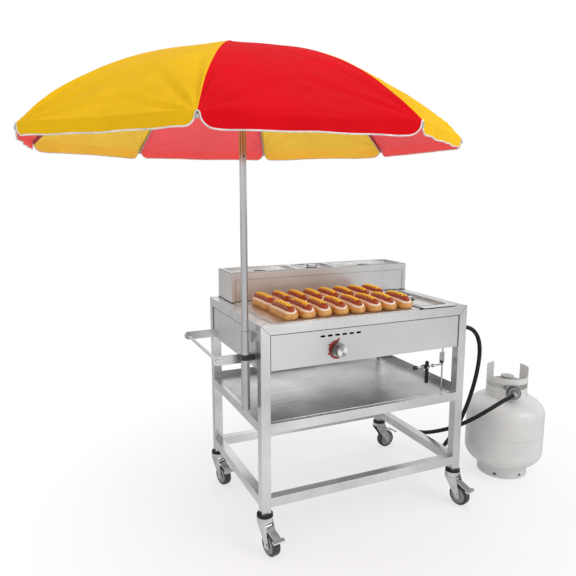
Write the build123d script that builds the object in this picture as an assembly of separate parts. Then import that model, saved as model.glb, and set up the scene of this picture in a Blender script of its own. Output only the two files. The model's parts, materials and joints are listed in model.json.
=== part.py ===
from build123d import *
import math
import os

# Hot dog cart with a folding umbrella and a gas cylinder, in millimetres.
# +X runs to the right along the serving side, +Y to the back and +Z up. Every piece is first placed
# about the middle of the cart's frame on the floor. At the end all of it moves so that the origin
# lies on the floor below the middle of the whole object, measured without its hose.

# Frame of square tube
FRAME_W = 808.0
FRAME_D = 548.0
DECK_Z = 770.0
TUBE = 32.0
TUBE_WALL = 1.5
SHELF_RAIL_TOP = 444.0
BASE_RAIL_TOP = 188.0

# Sheet metal
SHEET = 1.5
PANEL_RECESS = 2.5
PANEL_DROP = 150.0
PANEL_RETURN = 14.0
BACK_PANEL_DROP = 4.0
SHELF_UPSTAND = 24.0
SHELF_OVERLAP = 14.0
VENT_COUNT = 6
VENT_PITCH = 27.0
VENT_LENGTH = 18.0
VENT_HEIGHT = 7.0
VENT_DROP = 55.0
VENT_MIDDLE_X = -118.0

# Condiment box along the back
BOX_D = 160.0
BOX_H = 110.0
BOX_INSET = 36.0
BOX_WALL = 2.5
BOX_GAP = 10.0
BOX_PANEL_INSET = 1.0
BOX_BAND = 24.0
BOX_FRAME = 16.0
LEFT_LID_W = 286.0
MIDDLE_LID_W = 168.0
LID_JOINT = 2.0

# Steam pan, griddle and the divider strips between them
DECK_MARGIN = 6.0
FRONT_MARGIN = 10.0
STEAM_W = 142.0
STEAM_DEPTH = 65.0
GRIDDLE_MARGIN = 12.0
GRIDDLE_FLANGE = 10.0
GRIDDLE_RISE = 3.0
GRIDDLE_DEPTH = 8.0
DIVIDER_SPACE = 24.0
DIVIDER_COUNT = 2
DIVIDER_W = 5.0
DIVIDER_H = 4.0
DIVIDER_GAP = 4.0

# Pans and lids
PAN_WALL = 1.2
PAN_FLANGE = 11.0
PAN_OFF_FLOOR = 15.0
LID_SHEET = 1.2
LID_RIM = 14.0
LID_SINK = 8.0
LID_CORNER_R = 10.0
DISH_R = 24.0
DISH_DEPTH = 6.0
GRIP_R = 2.6
LOOP_CORNER_R = 3.0
LOOP_W = 38.0
LOOP_H = 14.0

# Hot dogs on the griddle
DOG_MARGIN = 36.0
DOG_FRONT_MARGIN = 8.0
DOG_GAP = 8.0
DOG_ROW_GAP = 8.0
BUN_LENGTH = 158.0
BUN_W = 56.0
BUN_H = 40.0
BUN_EDGE_R = 14.0
SAUSAGE_INSET = 7.0
SAUSAGE_R = 13.0
SAUSAGE_RISE = 34.0

# Gas tap, knob and burner
KNOB_X = -131.0
KNOB_DROP = 104.0
KNOB_R = 18.0
KNOB_LENGTH = 24.0
SKIRT_PROUD = 6.0
SKIRT_LENGTH = 7.0
KNOB_GAP = 5.0
KNOB_PUSH = 3.0
SPINDLE_R = 4.0
SPINDLE_HOLE_CLEAR = 2.5
TAP_R = 14.0
TAP_LENGTH = 34.0
SCALE_GAP = 1.5
SCALE_W = 7.5
SCALE_THICK = 0.8
SCALE_FROM_DEG = 83.0
SCALE_TO_DEG = 285.0
TICK_DEGS = (83.0, 149.0, 202.0)
TICK_W = 6.0
TICK_PROUD = 5.0
INLET_INSET = 60.0
INLET_RISE = 8.0
INLET_R = 6.0
INLET_ELBOW = 18.0
ELBOW_R = 8.0
INLET_WASHER_R = 12.0
INLET_WASHER_H = 6.0
MANIFOLD_INSET = 82.0
BARB_R = 4.5
BARB_LENGTH = 16.0
BURNER_R = 12.0
BURNER_DROP = 2.0
BURNER_INSET = 87.0
BURNER_END_GAP = 30.0
FEED_R = 7.0
FEED_JOINT_R = 9.0

# Drain under the steam pan
DRAIN_R = 3.2
DRAIN_BORE_R = 2.2
DRAIN_MARGIN = 2.4
DRAIN_END_RISE = 3.0
DRAIN_TEE_R = 5.0
BRANCH_RISE = 96.0
BRANCH_LENGTH = 122.0
VALVE_AT = 78.0
UNION_AT = 43.0
UNION_R = 6.5
UNION_LENGTH = 9.0
VALVE_R = 8.0
VALVE_LENGTH = 30.0
VALVE_STEM_R = 4.0
VALVE_STEM_LENGTH = 9.0
LEVER_FOOT_RISE = 35.0
LEVER_HEAD_RISE = 17.0
LEVER_HEAD_R = 8.0
LEVER_W = 14.0
LEVER_THICK = 4.0
LEVER_EYE_WALL = 6.0
NOZZLE_R = 7.8
NOZZLE_LENGTH = 12.0
GAUGE_W = 21.0
GAUGE_H = 41.0
GAUGE_RISE = 7.0
GAUGE_LEFT = 5.0
GAUGE_THICK = 2.0
GAUGE_KNOB_R = 5.5
GAUGE_KNOB_LENGTH = 8.0

# Push handle on the left side
HANDLE_REACH = 108.0
HANDLE_RISE = 21.0
HANDLE_FRONT_INSET = 111.0
HANDLE_BACK_INSET = 69.0
HANDLE_BAR_H = 30.0
HANDLE_BAR_T = 5.0
HANDLE_ROD_R = 5.5
BOLT_R = 7.0
BOLT_H = 5.0

# Umbrella pole and its socket
POLE_R = 11.0
POLE_WALL = 1.5
POLE_STANDOFF = 16.0
POLE_INSET = 69.0
SLEEVE_WALL = 3.0
SLEEVE_TOP_DROP = 26.0
SLEEVE_LENGTH = 262.0
SLEEVE_STOP = 6.0
BRACKET_W = 24.0
BRACKET_DROP = 27.0
UPPER_BRACKET_H = 34.0
LOWER_BRACKET_H = 18.0
BRACKET_GAP = 43.0
BRACKET_PIN_R = 2.5
BRACKET_BOLT_R = 5.0
LATCH_HOLE_R = 3.0
LATCH_HOLE_DROP = 50.0

# Canopy, ribs, stretchers and runner
RIB_COUNT = 8
RIB_PHASE = 197.8
RIM_R = 651.0
RIM_Z = 1337.0
DOME_H = 254.0
CLOTH = 2.0
FLAP_H = 40.0
FLAP_NOTCH = 8.0
FLAP_CORNER_R = 34.0
RIB_H = 10.0
RIB_T = 4.0
RIB_GAP = 1.2
RIB_TIP_R = 4.0
HINGE_R = 22.0
HINGE_PIN_R = 1.5
CROWN_WALL = 4.0
CROWN_BELOW = 14.0
SLOT_SIDE_GAP = 0.3
SLOT_END_GAP = 1.0
CAP_R = 15.0
CAP_H = 4.0
CAP_STEM_R = 5.5
RUNNER_RISE = 67.0
RUNNER_ABOVE = 14.0
RUNNER_BELOW = 20.0
RUNNER_HINGE_R = 19.0
RUNNER_WALL = 3.0
STRETCHER_AT_R = 300.0
STRETCHER_H = 8.0
STRETCHER_T = 3.0
STRETCHER_SIDE_GAP = 0.6
FOLDED_CHORD_DEG = 87.5

# Casters
WHEEL_R = 38.0
WHEEL_W = 28.0
TREAD_R = 6.0
HUB_R = 11.0
HUB_PROUD = 1.5
HUB_RING_R = 27.0
HUB_RING_W = 3.0
HUB_RING_PROUD = 1.0
AXLE_R = 4.0
AXLE_HEAD_R = 7.5
AXLE_HEAD_H = 4.0
CASTER_TRAIL = 36.0
CASTER_TURN = {"front_left": -78.0, "front_right": -74.0, "back_left": -75.0, "back_right": 2.0}
PLUG_FLANGE_R = 27.0
PLUG_FLANGE_H = 8.0
PLUG_DEPTH = 26.0
CUP_R = 28.0
CUP_H = 5.0
KING_PIN_R = 5.0
KING_NUT_R = 8.5
KING_NUT_H = 2.5
KING_NUT_GAP = 1.2
HEAD_R = 27.0
HEAD_H = 9.0
FORK_THICK = 3.0
FORK_HALF_W = 22.0
FORK_EYE_R = 12.0
PEDAL_AHEAD = 18.0
PEDAL_ABOVE_TYRE = 18.0
PEDAL_BELOW_LEG = 38.0
PEDAL_PIN_R = 2.5
PEDAL_THICK = 3.0
PEDAL_LENGTH = 66.0
PEDAL_SLOPE = 22.0
PEDAL_TREAD_LENGTH = 14.0
PEDAL_TREAD_W = 44.0
PEDAL_TREAD_H = 5.0
PEDAL_TREAD_EDGE_R = 1.6

# Gas cylinder, valve, regulator
TANK_OFF_FRAME = 354.0
TANK_Y = -137.0
TANK_R = 156.0
TANK_WALL = 2.5
TANK_BOTTOM = 22.0
TANK_H = 328.0
TANK_HEAD = 85.0
NECK_R = 14.0
SEAM_W = 4.0
SEAM_H = 0.8
FOOT_R = 100.0
FOOT_WALL = 3.0
FOOT_VENTS = 6
FOOT_VENT_W = 22.0
FOOT_VENT_H = 11.0
COLLAR_DEG = -132.0
COLLAR_R = 82.0
COLLAR_WALL = 3.0
COLLAR_WINDOW_H = 22.0
COLLAR_BACK_DROP = 12.0
COLLAR_BAND_H = 24.0
COLLAR_BAND_RISE = 50.0
COLLAR_EAR_H = 33.0
EAR_AT = 114.0
EAR_DEG = 50.0
OUTLET_NOTCH_DEG = 34.0
OUTLET_NOTCH_CLEAR = 3.0
OUTLET_DEG = -118.0
OUTLET_RISE = 24.0
VALVE_BODY_R = 12.0
VALVE_BODY_H = 54.0
OUTLET_R = 9.0
NUT_R = 18.0
NUT_AT = 44.0
NUT_LENGTH = 41.0
REGULATOR_R = 27.0
REGULATOR_LENGTH = 19.0
REGULATOR_ELBOW = 16.0
WHEEL_STEM_R = 4.0
HANDWHEEL_R = 26.0
HANDWHEEL_H = 14.0
HANDWHEEL_LOBES = 6
HANDWHEEL_NOTCH_R = 6.5

# Hose: its route is chosen by hand further down, with X measured from the frame's right side
HOSE_D = 16.0
HOSE_FIRST_RUN = 32.0
HOSE_BEND_SHARE = 0.45
HOSE_CLIP_POINT = (13.0, 48.0, 160.0)
HOSE_CLIP_W = 12.0
HOSE_CLIP_WALL = 2.0
HOSE_CLIP_CLEAR = 2.5
HOSE_CLIP_TAB = 8.0

# Clearances, and how far a cutting shape runs past a face
RUN_CLEAR = 0.05
SLIDE_CLEAR = 0.08
FREE_CLEAR = 0.4
CUT = 1.0

# Values worked out from the sizes above
SIDES = (-1, 1)
HALF_W = FRAME_W / 2
HALF_D = FRAME_D / 2
INNER_W = HALF_W - TUBE
INNER_D = HALF_D - TUBE
RAIL_Z = (DECK_Z - TUBE, DECK_Z)
SHELF_RAIL_Z = (SHELF_RAIL_TOP - TUBE, SHELF_RAIL_TOP)
BASE_RAIL_Z = (BASE_RAIL_TOP - TUBE, BASE_RAIL_TOP)
APRON_Y = -HALF_D + PANEL_RECESS
SIDE_X = HALF_W - PANEL_RECESS
PANEL_BOTTOM = DECK_Z - PANEL_DROP
VENT_Z = DECK_Z - VENT_DROP
BOX_X = (-HALF_W + BOX_INSET, HALF_W)
BOX_Y = (HALF_D - BOX_D, HALF_D)
BOX_TOP = DECK_Z + BOX_H
PAN_DEPTH = BOX_H - PAN_OFF_FLOOR
PAN_INSET = PAN_FLANGE + PAN_WALL + FREE_CLEAR
COOK_Y = (-INNER_D + DECK_MARGIN, BOX_Y[0] - BOX_GAP)
DECK_TOP_Y = (-HALF_D + FRONT_MARGIN, COOK_Y[1])
STEAM_X = (INNER_W - DECK_MARGIN - STEAM_W, INNER_W - DECK_MARGIN)
GRIDDLE_X = (-INNER_W + GRIDDLE_MARGIN, STEAM_X[0] - DIVIDER_SPACE)
LID_SEAT = BOX_TOP + PAN_WALL
STEAM_SEAT = DECK_Z + PAN_WALL
SAUSAGE_LENGTH = BUN_LENGTH - 2 * SAUSAGE_INSET
DOG_PITCH = BUN_W + DOG_GAP
DOG_ROW_PITCH = BUN_LENGTH + DOG_ROW_GAP
DOGS_PER_ROW = 1 + int((GRIDDLE_X[1] - GRIDDLE_X[0] - 2 * DOG_MARGIN) / DOG_PITCH)
DOG_ROWS = int((DECK_TOP_Y[1] - DECK_TOP_Y[0] - DOG_FRONT_MARGIN + DOG_ROW_GAP) / DOG_ROW_PITCH)
KNOB_Z = DECK_Z - KNOB_DROP
SKIRT_R = KNOB_R + SKIRT_PROUD
SCALE_R = SKIRT_R + SCALE_GAP
INLET_X = SIDE_X
INLET_Y = -HALF_D + INLET_INSET
INLET_Z = KNOB_Z + INLET_RISE
MANIFOLD_Y = -HALF_D + MANIFOLD_INSET
BURNER_Y = (COOK_Y[0] + BURNER_INSET, COOK_Y[1] - BURNER_INSET)
BURNER_Z = RAIL_Z[0] - BURNER_DROP - BURNER_R
DRAIN_X = STEAM_X[1] - PAN_INSET - DRAIN_R - DRAIN_MARGIN
DRAIN_Y = COOK_Y[0] + PAN_INSET + DRAIN_R + DRAIN_MARGIN
BRANCH_Z = SHELF_RAIL_TOP + BRANCH_RISE
VALVE_X = DRAIN_X - VALVE_AT
HANDLE_X = -HALF_W - HANDLE_REACH
HANDLE_Y = (-HALF_D + HANDLE_FRONT_INSET, HALF_D - HANDLE_BACK_INSET)
HANDLE_Z = PANEL_BOTTOM + HANDLE_RISE
POLE_X = -HALF_W - POLE_STANDOFF - POLE_R
POLE_Y = -HALF_D + POLE_INSET
SLEEVE_TOP = DECK_Z - SLEEVE_TOP_DROP
SLEEVE_R = POLE_R + SLIDE_CLEAR + SLEEVE_WALL
POLE_BOTTOM = SLEEVE_TOP - SLEEVE_LENGTH + SLEEVE_STOP
UPPER_BRACKET_Z = (DECK_Z - BRACKET_DROP - UPPER_BRACKET_H, DECK_Z - BRACKET_DROP)
LOWER_BRACKET_TOP = UPPER_BRACKET_Z[0] - BRACKET_GAP
LOWER_BRACKET_Z = (LOWER_BRACKET_TOP - LOWER_BRACKET_H, LOWER_BRACKET_TOP)
LATCH_HOLE_Z = RIM_Z - LATCH_HOLE_DROP
APEX_Z = RIM_Z + DOME_H
GORE_HALF = math.pi / RIB_COUNT
MID_RIM_R = RIM_R * math.cos(GORE_HALF)
RIB_ARC_R = (RIM_R**2 + DOME_H**2) / (2 * DOME_H)
GORE_ARC_R = (MID_RIM_R**2 + DOME_H**2) / (2 * DOME_H)
RIB_TOP_R = RIB_ARC_R - CLOTH - RIB_GAP
RIB_MID_R = RIB_TOP_R - RIB_H / 2
RIB_CENTRE_Z = APEX_Z - RIB_ARC_R
CROWN_R = HINGE_R + RIB_H / 2 + CROWN_WALL
RUNNER_HINGE_Z = RIM_Z + RUNNER_RISE
RUNNER_Z = (RUNNER_HINGE_Z - RUNNER_BELOW, RUNNER_HINGE_Z + RUNNER_ABOVE)
RUNNER_R = RUNNER_HINGE_R + STRETCHER_H / 2 + RUNNER_WALL
STRETCHER_OFFSET = RIB_T / 2 + STRETCHER_SIDE_GAP + STRETCHER_T / 2
HUB_W = WHEEL_W + 2 * HUB_PROUD
FORK_GAP = HUB_W + 2 * FREE_CLEAR
PEDAL_Z = 2 * WHEEL_R + PEDAL_ABOVE_TYRE
LEG_BOTTOM = PEDAL_Z + PEDAL_BELOW_LEG
CUP_TOP = LEG_BOTTOM - PLUG_FLANGE_H
HEAD_TOP = CUP_TOP - CUP_H - FREE_CLEAR
TANK_X = HALF_W + TANK_OFF_FRAME
TANK_TOP = TANK_BOTTOM + TANK_H
TANK_SHOULDER = TANK_TOP - TANK_HEAD
TANK_KNUCKLE = TANK_BOTTOM + TANK_HEAD
COLLAR_BAND_Z = (TANK_TOP + COLLAR_BAND_RISE, TANK_TOP + COLLAR_BAND_RISE + COLLAR_BAND_H)
COLLAR_TOP = COLLAR_BAND_Z[1] + COLLAR_EAR_H
OUTLET_Z = TANK_TOP + OUTLET_RISE
VALVE_BODY_TOP = TANK_TOP + VALVE_BODY_H
NUT_END = NUT_AT + NUT_LENGTH
REGULATOR_END = NUT_END + REGULATOR_LENGTH


def rib_height(reach):
    """Height of a rib's middle line at a distance from the pole's axis."""
    return RIB_CENTRE_Z + math.sqrt(RIB_MID_R**2 - reach**2)


def fold():
    """Turns of rib and stretcher in degrees, the stretcher's length and the runner's travel."""
    hinge = Vector(HINGE_R, rib_height(HINGE_R))
    tip = Vector(RIM_R, rib_height(RIM_R))
    seat = Vector(STRETCHER_AT_R, rib_height(STRETCHER_AT_R))
    root = Vector(RUNNER_HINGE_R, RUNNER_HINGE_Z)
    chord = tip - hinge
    rib_turn = FOLDED_CHORD_DEG - math.degrees(math.atan2(-chord.Y, chord.X))
    open_arm = seat - root
    arm = seat - hinge
    folded_deg = math.degrees(math.atan2(arm.Y, arm.X)) - rib_turn
    reach = arm.length * math.cos(math.radians(folded_deg))
    drop = arm.length * math.sin(math.radians(folded_deg))
    folded_seat = hinge + Vector(reach, drop)
    across = folded_seat.X - RUNNER_HINGE_R
    rise = math.sqrt(open_arm.length**2 - across**2)
    travel = RUNNER_HINGE_Z - (folded_seat.Y - rise)
    open_deg = math.degrees(math.atan2(open_arm.Y, open_arm.X))
    stretcher_turn = math.degrees(math.atan2(rise, across)) - open_deg
    return rib_turn, stretcher_turn, open_arm.length, open_deg, travel


RIB_TURN, STRETCHER_TURN, STRETCHER_LENGTH, STRETCHER_DEG, RUNNER_TRAVEL = fold()
HINGE_Z = rib_height(HINGE_R)


def block(x, y, z):
    """A box that fills three spans."""
    spans = (x, y, z)
    middle = [(low + high) / 2 for low, high in spans]
    return Pos(*middle) * Box(*[high - low for low, high in spans])


def about(middle, size):
    """The span of a size about its middle."""
    return (middle - size / 2, middle + size / 2)


def grown(span, by):
    """A span made longer at both ends."""
    return (span[0] - by, span[1] + by)


def rod(start, end, radius):
    """A round bar from one point to another."""
    start = Vector(*start)
    run = Vector(*end) - start
    bar = Cylinder(radius, run.length, align=(Align.CENTER, Align.CENTER, Align.MIN))
    return Plane(origin=start, z_dir=run) * bar


def ring(low, high, outer, inner):
    """An upright ring about the Z axis."""
    middle = (low + high) / 2
    return Pos(0, 0, middle) * (Cylinder(outer, high - low) - Cylinder(inner, high - low))


def wedge(middle_deg, size_deg, reach, z):
    """An upright wedge from the Z axis, to cut a ring with."""
    half = math.radians(size_deg / 2)
    corners = [(0, 0)]
    for step in range(-2, 3):
        turn = math.radians(middle_deg) + half * step / 2
        corners.append((reach * math.cos(turn), reach * math.sin(turn)))
    outline = make_face(Polyline(*corners, close=True))
    return Pos(0, 0, z[0]) * extrude(outline, z[1] - z[0])


def keep_side(shape, point, normal):
    """The part of a shape on the side of a plane that its normal points to."""
    return split(shape, bisect_by=Plane(origin=point, z_dir=normal), keep=Keep.TOP)


# Frame


def square_tube(spans, along):
    """A square tube with open ends that fills three spans and runs along one of them."""
    inner = [span if i == along else grown(span, -TUBE_WALL) for i, span in enumerate(spans)]
    return block(*spans) - block(*inner)


def inward(edge, side):
    """The span of a tube whose outer face is at an edge."""
    return tuple(sorted((edge, edge - side * TUBE)))


def frame_legs():
    """Four legs, cut to a three-way mitre at the top."""
    legs = []
    for sx in SIDES:
        for sy in SIDES:
            corner = (sx * HALF_W, sy * HALF_D, DECK_Z)
            spans = (inward(corner[0], sx), inward(corner[1], sy), (LEG_BOTTOM, DECK_Z))
            leg = keep_side(square_tube(spans, 2), corner, (sx, 0, -1))
            legs.append(keep_side(leg, corner, (0, sy, -1)))
    return legs


def top_rails():
    """The deck's four rails, mitred to each other and to the legs."""
    rails = []
    for side in SIDES:
        front = square_tube(((-HALF_W, HALF_W), inward(side * HALF_D, side), RAIL_Z), 0)
        flank = square_tube((inward(side * HALF_W, side), (-HALF_D, HALF_D), RAIL_Z), 1)
        for end in SIDES:
            corner = (end * HALF_W, side * HALF_D, DECK_Z)
            front = keep_side(front, corner, (-end, 0, 1))
            front = keep_side(front, corner, (-end, side, 0))
            corner = (side * HALF_W, end * HALF_D, DECK_Z)
            flank = keep_side(flank, corner, (0, -end, 1))
            flank = keep_side(flank, corner, (side, -end, 0))
        rails += [front, flank]
    return rails


def frame_rails():
    """Deck, shelf and base rails."""
    rails = top_rails()
    for level in (SHELF_RAIL_Z, BASE_RAIL_Z):
        for side in SIDES:
            rails.append(square_tube(((-INNER_W, INNER_W), inward(side * HALF_D, side), level), 0))
            rails.append(square_tube((inward(side * HALF_W, side), (-INNER_D, INNER_D), level), 1))
    return rails


# Sheet metal


def apron():
    """Front panel with its vent slots, the spindle's hole and a return along the bottom."""
    x = (-INNER_W, INNER_W)
    sheet = block(x, (APRON_Y, APRON_Y + SHEET), (PANEL_BOTTOM, RAIL_Z[0]))
    sheet += block(x, (APRON_Y, APRON_Y + PANEL_RETURN), (PANEL_BOTTOM, PANEL_BOTTOM + SHEET))
    slot = Rot(90, 0, 0) * extrude(SlotOverall(VENT_LENGTH, VENT_HEIGHT), PANEL_RETURN, both=True)
    first = VENT_MIDDLE_X - VENT_PITCH * (VENT_COUNT - 1) / 2
    for i in range(VENT_COUNT):
        sheet -= Pos(first + VENT_PITCH * i, APRON_Y, VENT_Z) * slot
    ends = ((KNOB_X, APRON_Y - CUT, KNOB_Z), (KNOB_X, APRON_Y + SHEET + CUT, KNOB_Z))
    return sheet - rod(*ends, SPINDLE_R + SPINDLE_HOLE_CLEAR)


def side_panel(side):
    """Side panel with a return along the bottom; the right one lets the inlet through."""
    y = (-INNER_D, INNER_D)
    face = side * SIDE_X
    x = tuple(sorted((face, face - side * SHEET)))
    deep = tuple(sorted((face, face - side * PANEL_RETURN)))
    sheet = block(x, y, (PANEL_BOTTOM, RAIL_Z[0])) + block(deep, y, (PANEL_BOTTOM, PANEL_BOTTOM + SHEET))
    if side > 0:
        ends = ((face - SHEET - CUT, INLET_Y, INLET_Z), (face + CUT, INLET_Y, INLET_Z))
        sheet -= rod(*ends, INLET_R + FREE_CLEAR)
    return sheet


def back_panel():
    """Flat sheet on the outside of the rear legs and rail."""
    return block((-HALF_W, HALF_W), (HALF_D, HALF_D + SHEET), (PANEL_BOTTOM, DECK_Z - BACK_PANEL_DROP))


def deck_plate():
    """Sheet between the deck rails with openings for griddle and steam pan, and two divider strips."""
    z = (DECK_Z - SHEET, DECK_Z)
    plate = block((-INNER_W, INNER_W), (-INNER_D, INNER_D), z)
    plate -= block(grown(GRIDDLE_X, -GRIDDLE_FLANGE), grown(COOK_Y, -GRIDDLE_FLANGE), grown(z, CUT))
    plate -= block(grown(STEAM_X, -PAN_FLANGE), grown(COOK_Y, -PAN_FLANGE), grown(z, CUT))
    strips = []
    for step in range(DIVIDER_COUNT):
        left = GRIDDLE_X[1] + DIVIDER_GAP + step * (DIVIDER_W + DIVIDER_GAP)
        strips.append(block((left, left + DIVIDER_W), DECK_TOP_Y, (DECK_Z, DECK_Z + DIVIDER_H)))
    return [plate] + strips


def shelf_pan():
    """Shelf that lies on its rails, with an upstand along the back and the right."""
    x = (-INNER_W - SHELF_OVERLAP, INNER_W + SHELF_OVERLAP)
    y = (-INNER_D - SHELF_OVERLAP, INNER_D + SHELF_OVERLAP)
    z = (SHELF_RAIL_TOP, SHELF_RAIL_TOP + SHEET)
    pan = block(x, y, z)
    top = SHELF_RAIL_TOP + SHELF_UPSTAND
    pan += block(x, (y[1] - SHEET, y[1]), (z[0], top))
    pan += block((x[1] - SHEET, x[1]), y, (z[0], top))
    for sx in SIDES:
        for sy in SIDES:
            spans = (inward(sx * HALF_W, sx), inward(sy * HALF_D, sy), (z[0] - CUT, top + CUT))
            pan -= block(*spans)
    return pan


# Griddle and hot dogs


def griddle_plate():
    """Thick plate that hangs in the deck's opening by its flange, which reaches over the front rail."""
    flange = block(GRIDDLE_X, DECK_TOP_Y, (DECK_Z, DECK_Z + GRIDDLE_RISE))
    inner_x = grown(GRIDDLE_X, -GRIDDLE_FLANGE - FREE_CLEAR)
    inner_y = grown(COOK_Y, -GRIDDLE_FLANGE - FREE_CLEAR)
    return flange + block(inner_x, inner_y, (DECK_Z - GRIDDLE_DEPTH, DECK_Z))


def hot_dogs():
    """Rows of buns, each with a sausage in its groove."""
    foot = DECK_Z + GRIDDLE_RISE
    bun = extrude(SlotOverall(BUN_LENGTH, BUN_W, rotation=90), BUN_H)
    bun = fillet(bun.edges().group_by(Axis.Z)[-1], BUN_EDGE_R)
    bun = fillet(bun.edges().group_by(Axis.Z)[0], BUN_EDGE_R)
    half = SAUSAGE_LENGTH / 2 - SAUSAGE_R
    groove_r = SAUSAGE_R + FREE_CLEAR
    groove = rod((0, -half, SAUSAGE_RISE), (0, half, SAUSAGE_RISE), groove_r)
    groove += block((-groove_r, groove_r), (-half, half), (SAUSAGE_RISE, BUN_H + CUT))
    for side in SIDES:
        groove += Pos(0, side * half, SAUSAGE_RISE) * Sphere(groove_r)
        groove += rod((0, side * half, SAUSAGE_RISE), (0, side * half, BUN_H + CUT), groove_r)
    bun -= groove
    sausage = rod((0, -half, SAUSAGE_RISE), (0, half, SAUSAGE_RISE), SAUSAGE_R)
    for side in SIDES:
        sausage += Pos(0, side * half, SAUSAGE_RISE) * Sphere(SAUSAGE_R)
    pieces = []
    for row in range(DOG_ROWS):
        y = DECK_TOP_Y[0] + DOG_FRONT_MARGIN + BUN_LENGTH / 2 + DOG_ROW_PITCH * row
        for i in range(DOGS_PER_ROW):
            place = Pos(GRIDDLE_X[1] - DOG_MARGIN - DOG_PITCH * i, y, foot)
            pieces += [place * bun, place * sausage]
    return pieces


# Pans and lids


def pan(x, y, seat, depth):
    """An open pan that hangs by its flange, whose underside lies on the seat."""
    inner = (grown(x, -PAN_INSET), grown(y, -PAN_INSET))
    outer = [grown(span, PAN_WALL) for span in inner]
    made = block(x, y, (seat, seat + PAN_WALL)) + block(*outer, (seat - depth, seat))
    return made - block(*inner, (seat - depth + PAN_WALL, seat + PAN_WALL + CUT))


def condiment_spans():
    """The X spans of the three condiment lids."""
    first = BOX_X[0] + LEFT_LID_W
    edges = (BOX_X[0] + BOX_WALL, first, first + MIDDLE_LID_W, BOX_X[1] - BOX_WALL)
    return [grown((edges[i], edges[i + 1]), -LID_JOINT / 2) for i in range(3)]


def condiment_box():
    """Box along the back with a ledge for its pans and an inset panel framed on its front."""
    box = block(BOX_X, BOX_Y, (DECK_Z, BOX_TOP))
    inner_x = grown(BOX_X, -BOX_WALL)
    inner_y = grown(BOX_Y, -BOX_WALL)
    box -= block(inner_x, inner_y, (DECK_Z + BOX_WALL, BOX_TOP - BOX_WALL))
    for span in condiment_spans():
        hole_x = grown(span, -PAN_FLANGE)
        hole_y = grown(inner_y, -PAN_FLANGE)
        box -= block(hole_x, hole_y, (BOX_TOP - BOX_WALL - CUT, BOX_TOP + CUT))
    panel_x = grown(BOX_X, -BOX_FRAME)
    box -= block(panel_x, (BOX_Y[0], BOX_Y[0] + BOX_PANEL_INSET), (DECK_Z, BOX_TOP - BOX_BAND))
    return box


def food_pans():
    """The three condiment pans."""
    y = grown(BOX_Y, -BOX_WALL)
    return [pan(span, y, BOX_TOP, PAN_DEPTH) for span in condiment_spans()]


def steam_pan():
    """Pan beside the griddle that drains through its bottom."""
    made = pan(STEAM_X, COOK_Y, DECK_Z, STEAM_DEPTH)
    bore_end = (DRAIN_X, DRAIN_Y, DECK_Z - STEAM_DEPTH - CUT)
    return made - rod(bore_end, (DRAIN_X, DRAIN_Y, DECK_Z), DRAIN_BORE_R)


def lid(rim_y, x, y, seat):
    """A pressed lid: a flat rim round a sunk panel with a round dish in its middle."""
    middle = (sum(x) / 2, sum(y) / 2)
    size = [span[1] - span[0] - 2 * LID_RIM for span in (x, y)]
    rim_size = (x[1] - x[0], rim_y[1] - rim_y[0])
    rim = Pos(middle[0], sum(rim_y) / 2, seat) * extrude(RectangleRounded(*rim_size, LID_SHEET), LID_SHEET)
    deep = LID_SINK + LID_SHEET
    well = Pos(*middle, seat - LID_SINK) * extrude(RectangleRounded(*size, LID_CORNER_R), deep)
    inner_size = [length - 2 * LID_SHEET for length in size]
    inner = extrude(RectangleRounded(*inner_size, LID_CORNER_R - LID_SHEET), deep)
    top = panel_top(seat)
    made = rim + well - Pos(*middle, top) * inner
    dish_deep = DISH_DEPTH + LID_SHEET
    made += Pos(*middle, top - dish_deep / 2) * Cylinder(DISH_R + LID_SHEET, dish_deep)
    return made - Pos(*middle, top + (CUT - DISH_DEPTH) / 2) * Cylinder(DISH_R, DISH_DEPTH + CUT)


def panel_top(seat):
    """Height of a lid's sunk panel."""
    return seat - LID_SINK + LID_SHEET


def barred_lid(x, y, seat):
    """A lid with a bar across its dish to lift it by."""
    reach = DISH_R + LID_SHEET / 2
    bar_y = sum(y) / 2
    bar_z = panel_top(seat) - GRIP_R
    ends = [(sum(x) / 2 + side * reach, bar_y, bar_z) for side in SIDES]
    return lid(y, x, y, seat) + rod(*ends, GRIP_R)


def looped_lid(rim_y, x, y, seat):
    """A lid, and a low loop of bent rod that stands on the floor of its dish."""
    loop_y = sum(y) / 2
    floor_z = panel_top(seat) - DISH_DEPTH
    loop_z = panel_top(seat) + LOOP_H - GRIP_R
    feet = [(sum(x) / 2 + side * LOOP_W / 2, loop_y, floor_z) for side in SIDES]
    corners = [(foot[0], loop_y, loop_z) for foot in feet]
    loop = rod(*corners, GRIP_R)
    for foot, corner in zip(feet, corners):
        loop += rod(foot, corner, GRIP_R) + Pos(*corner) * Sphere(LOOP_CORNER_R)
    return [lid(rim_y, x, y, seat), loop]


# Gas tap, knob and burner


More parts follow.
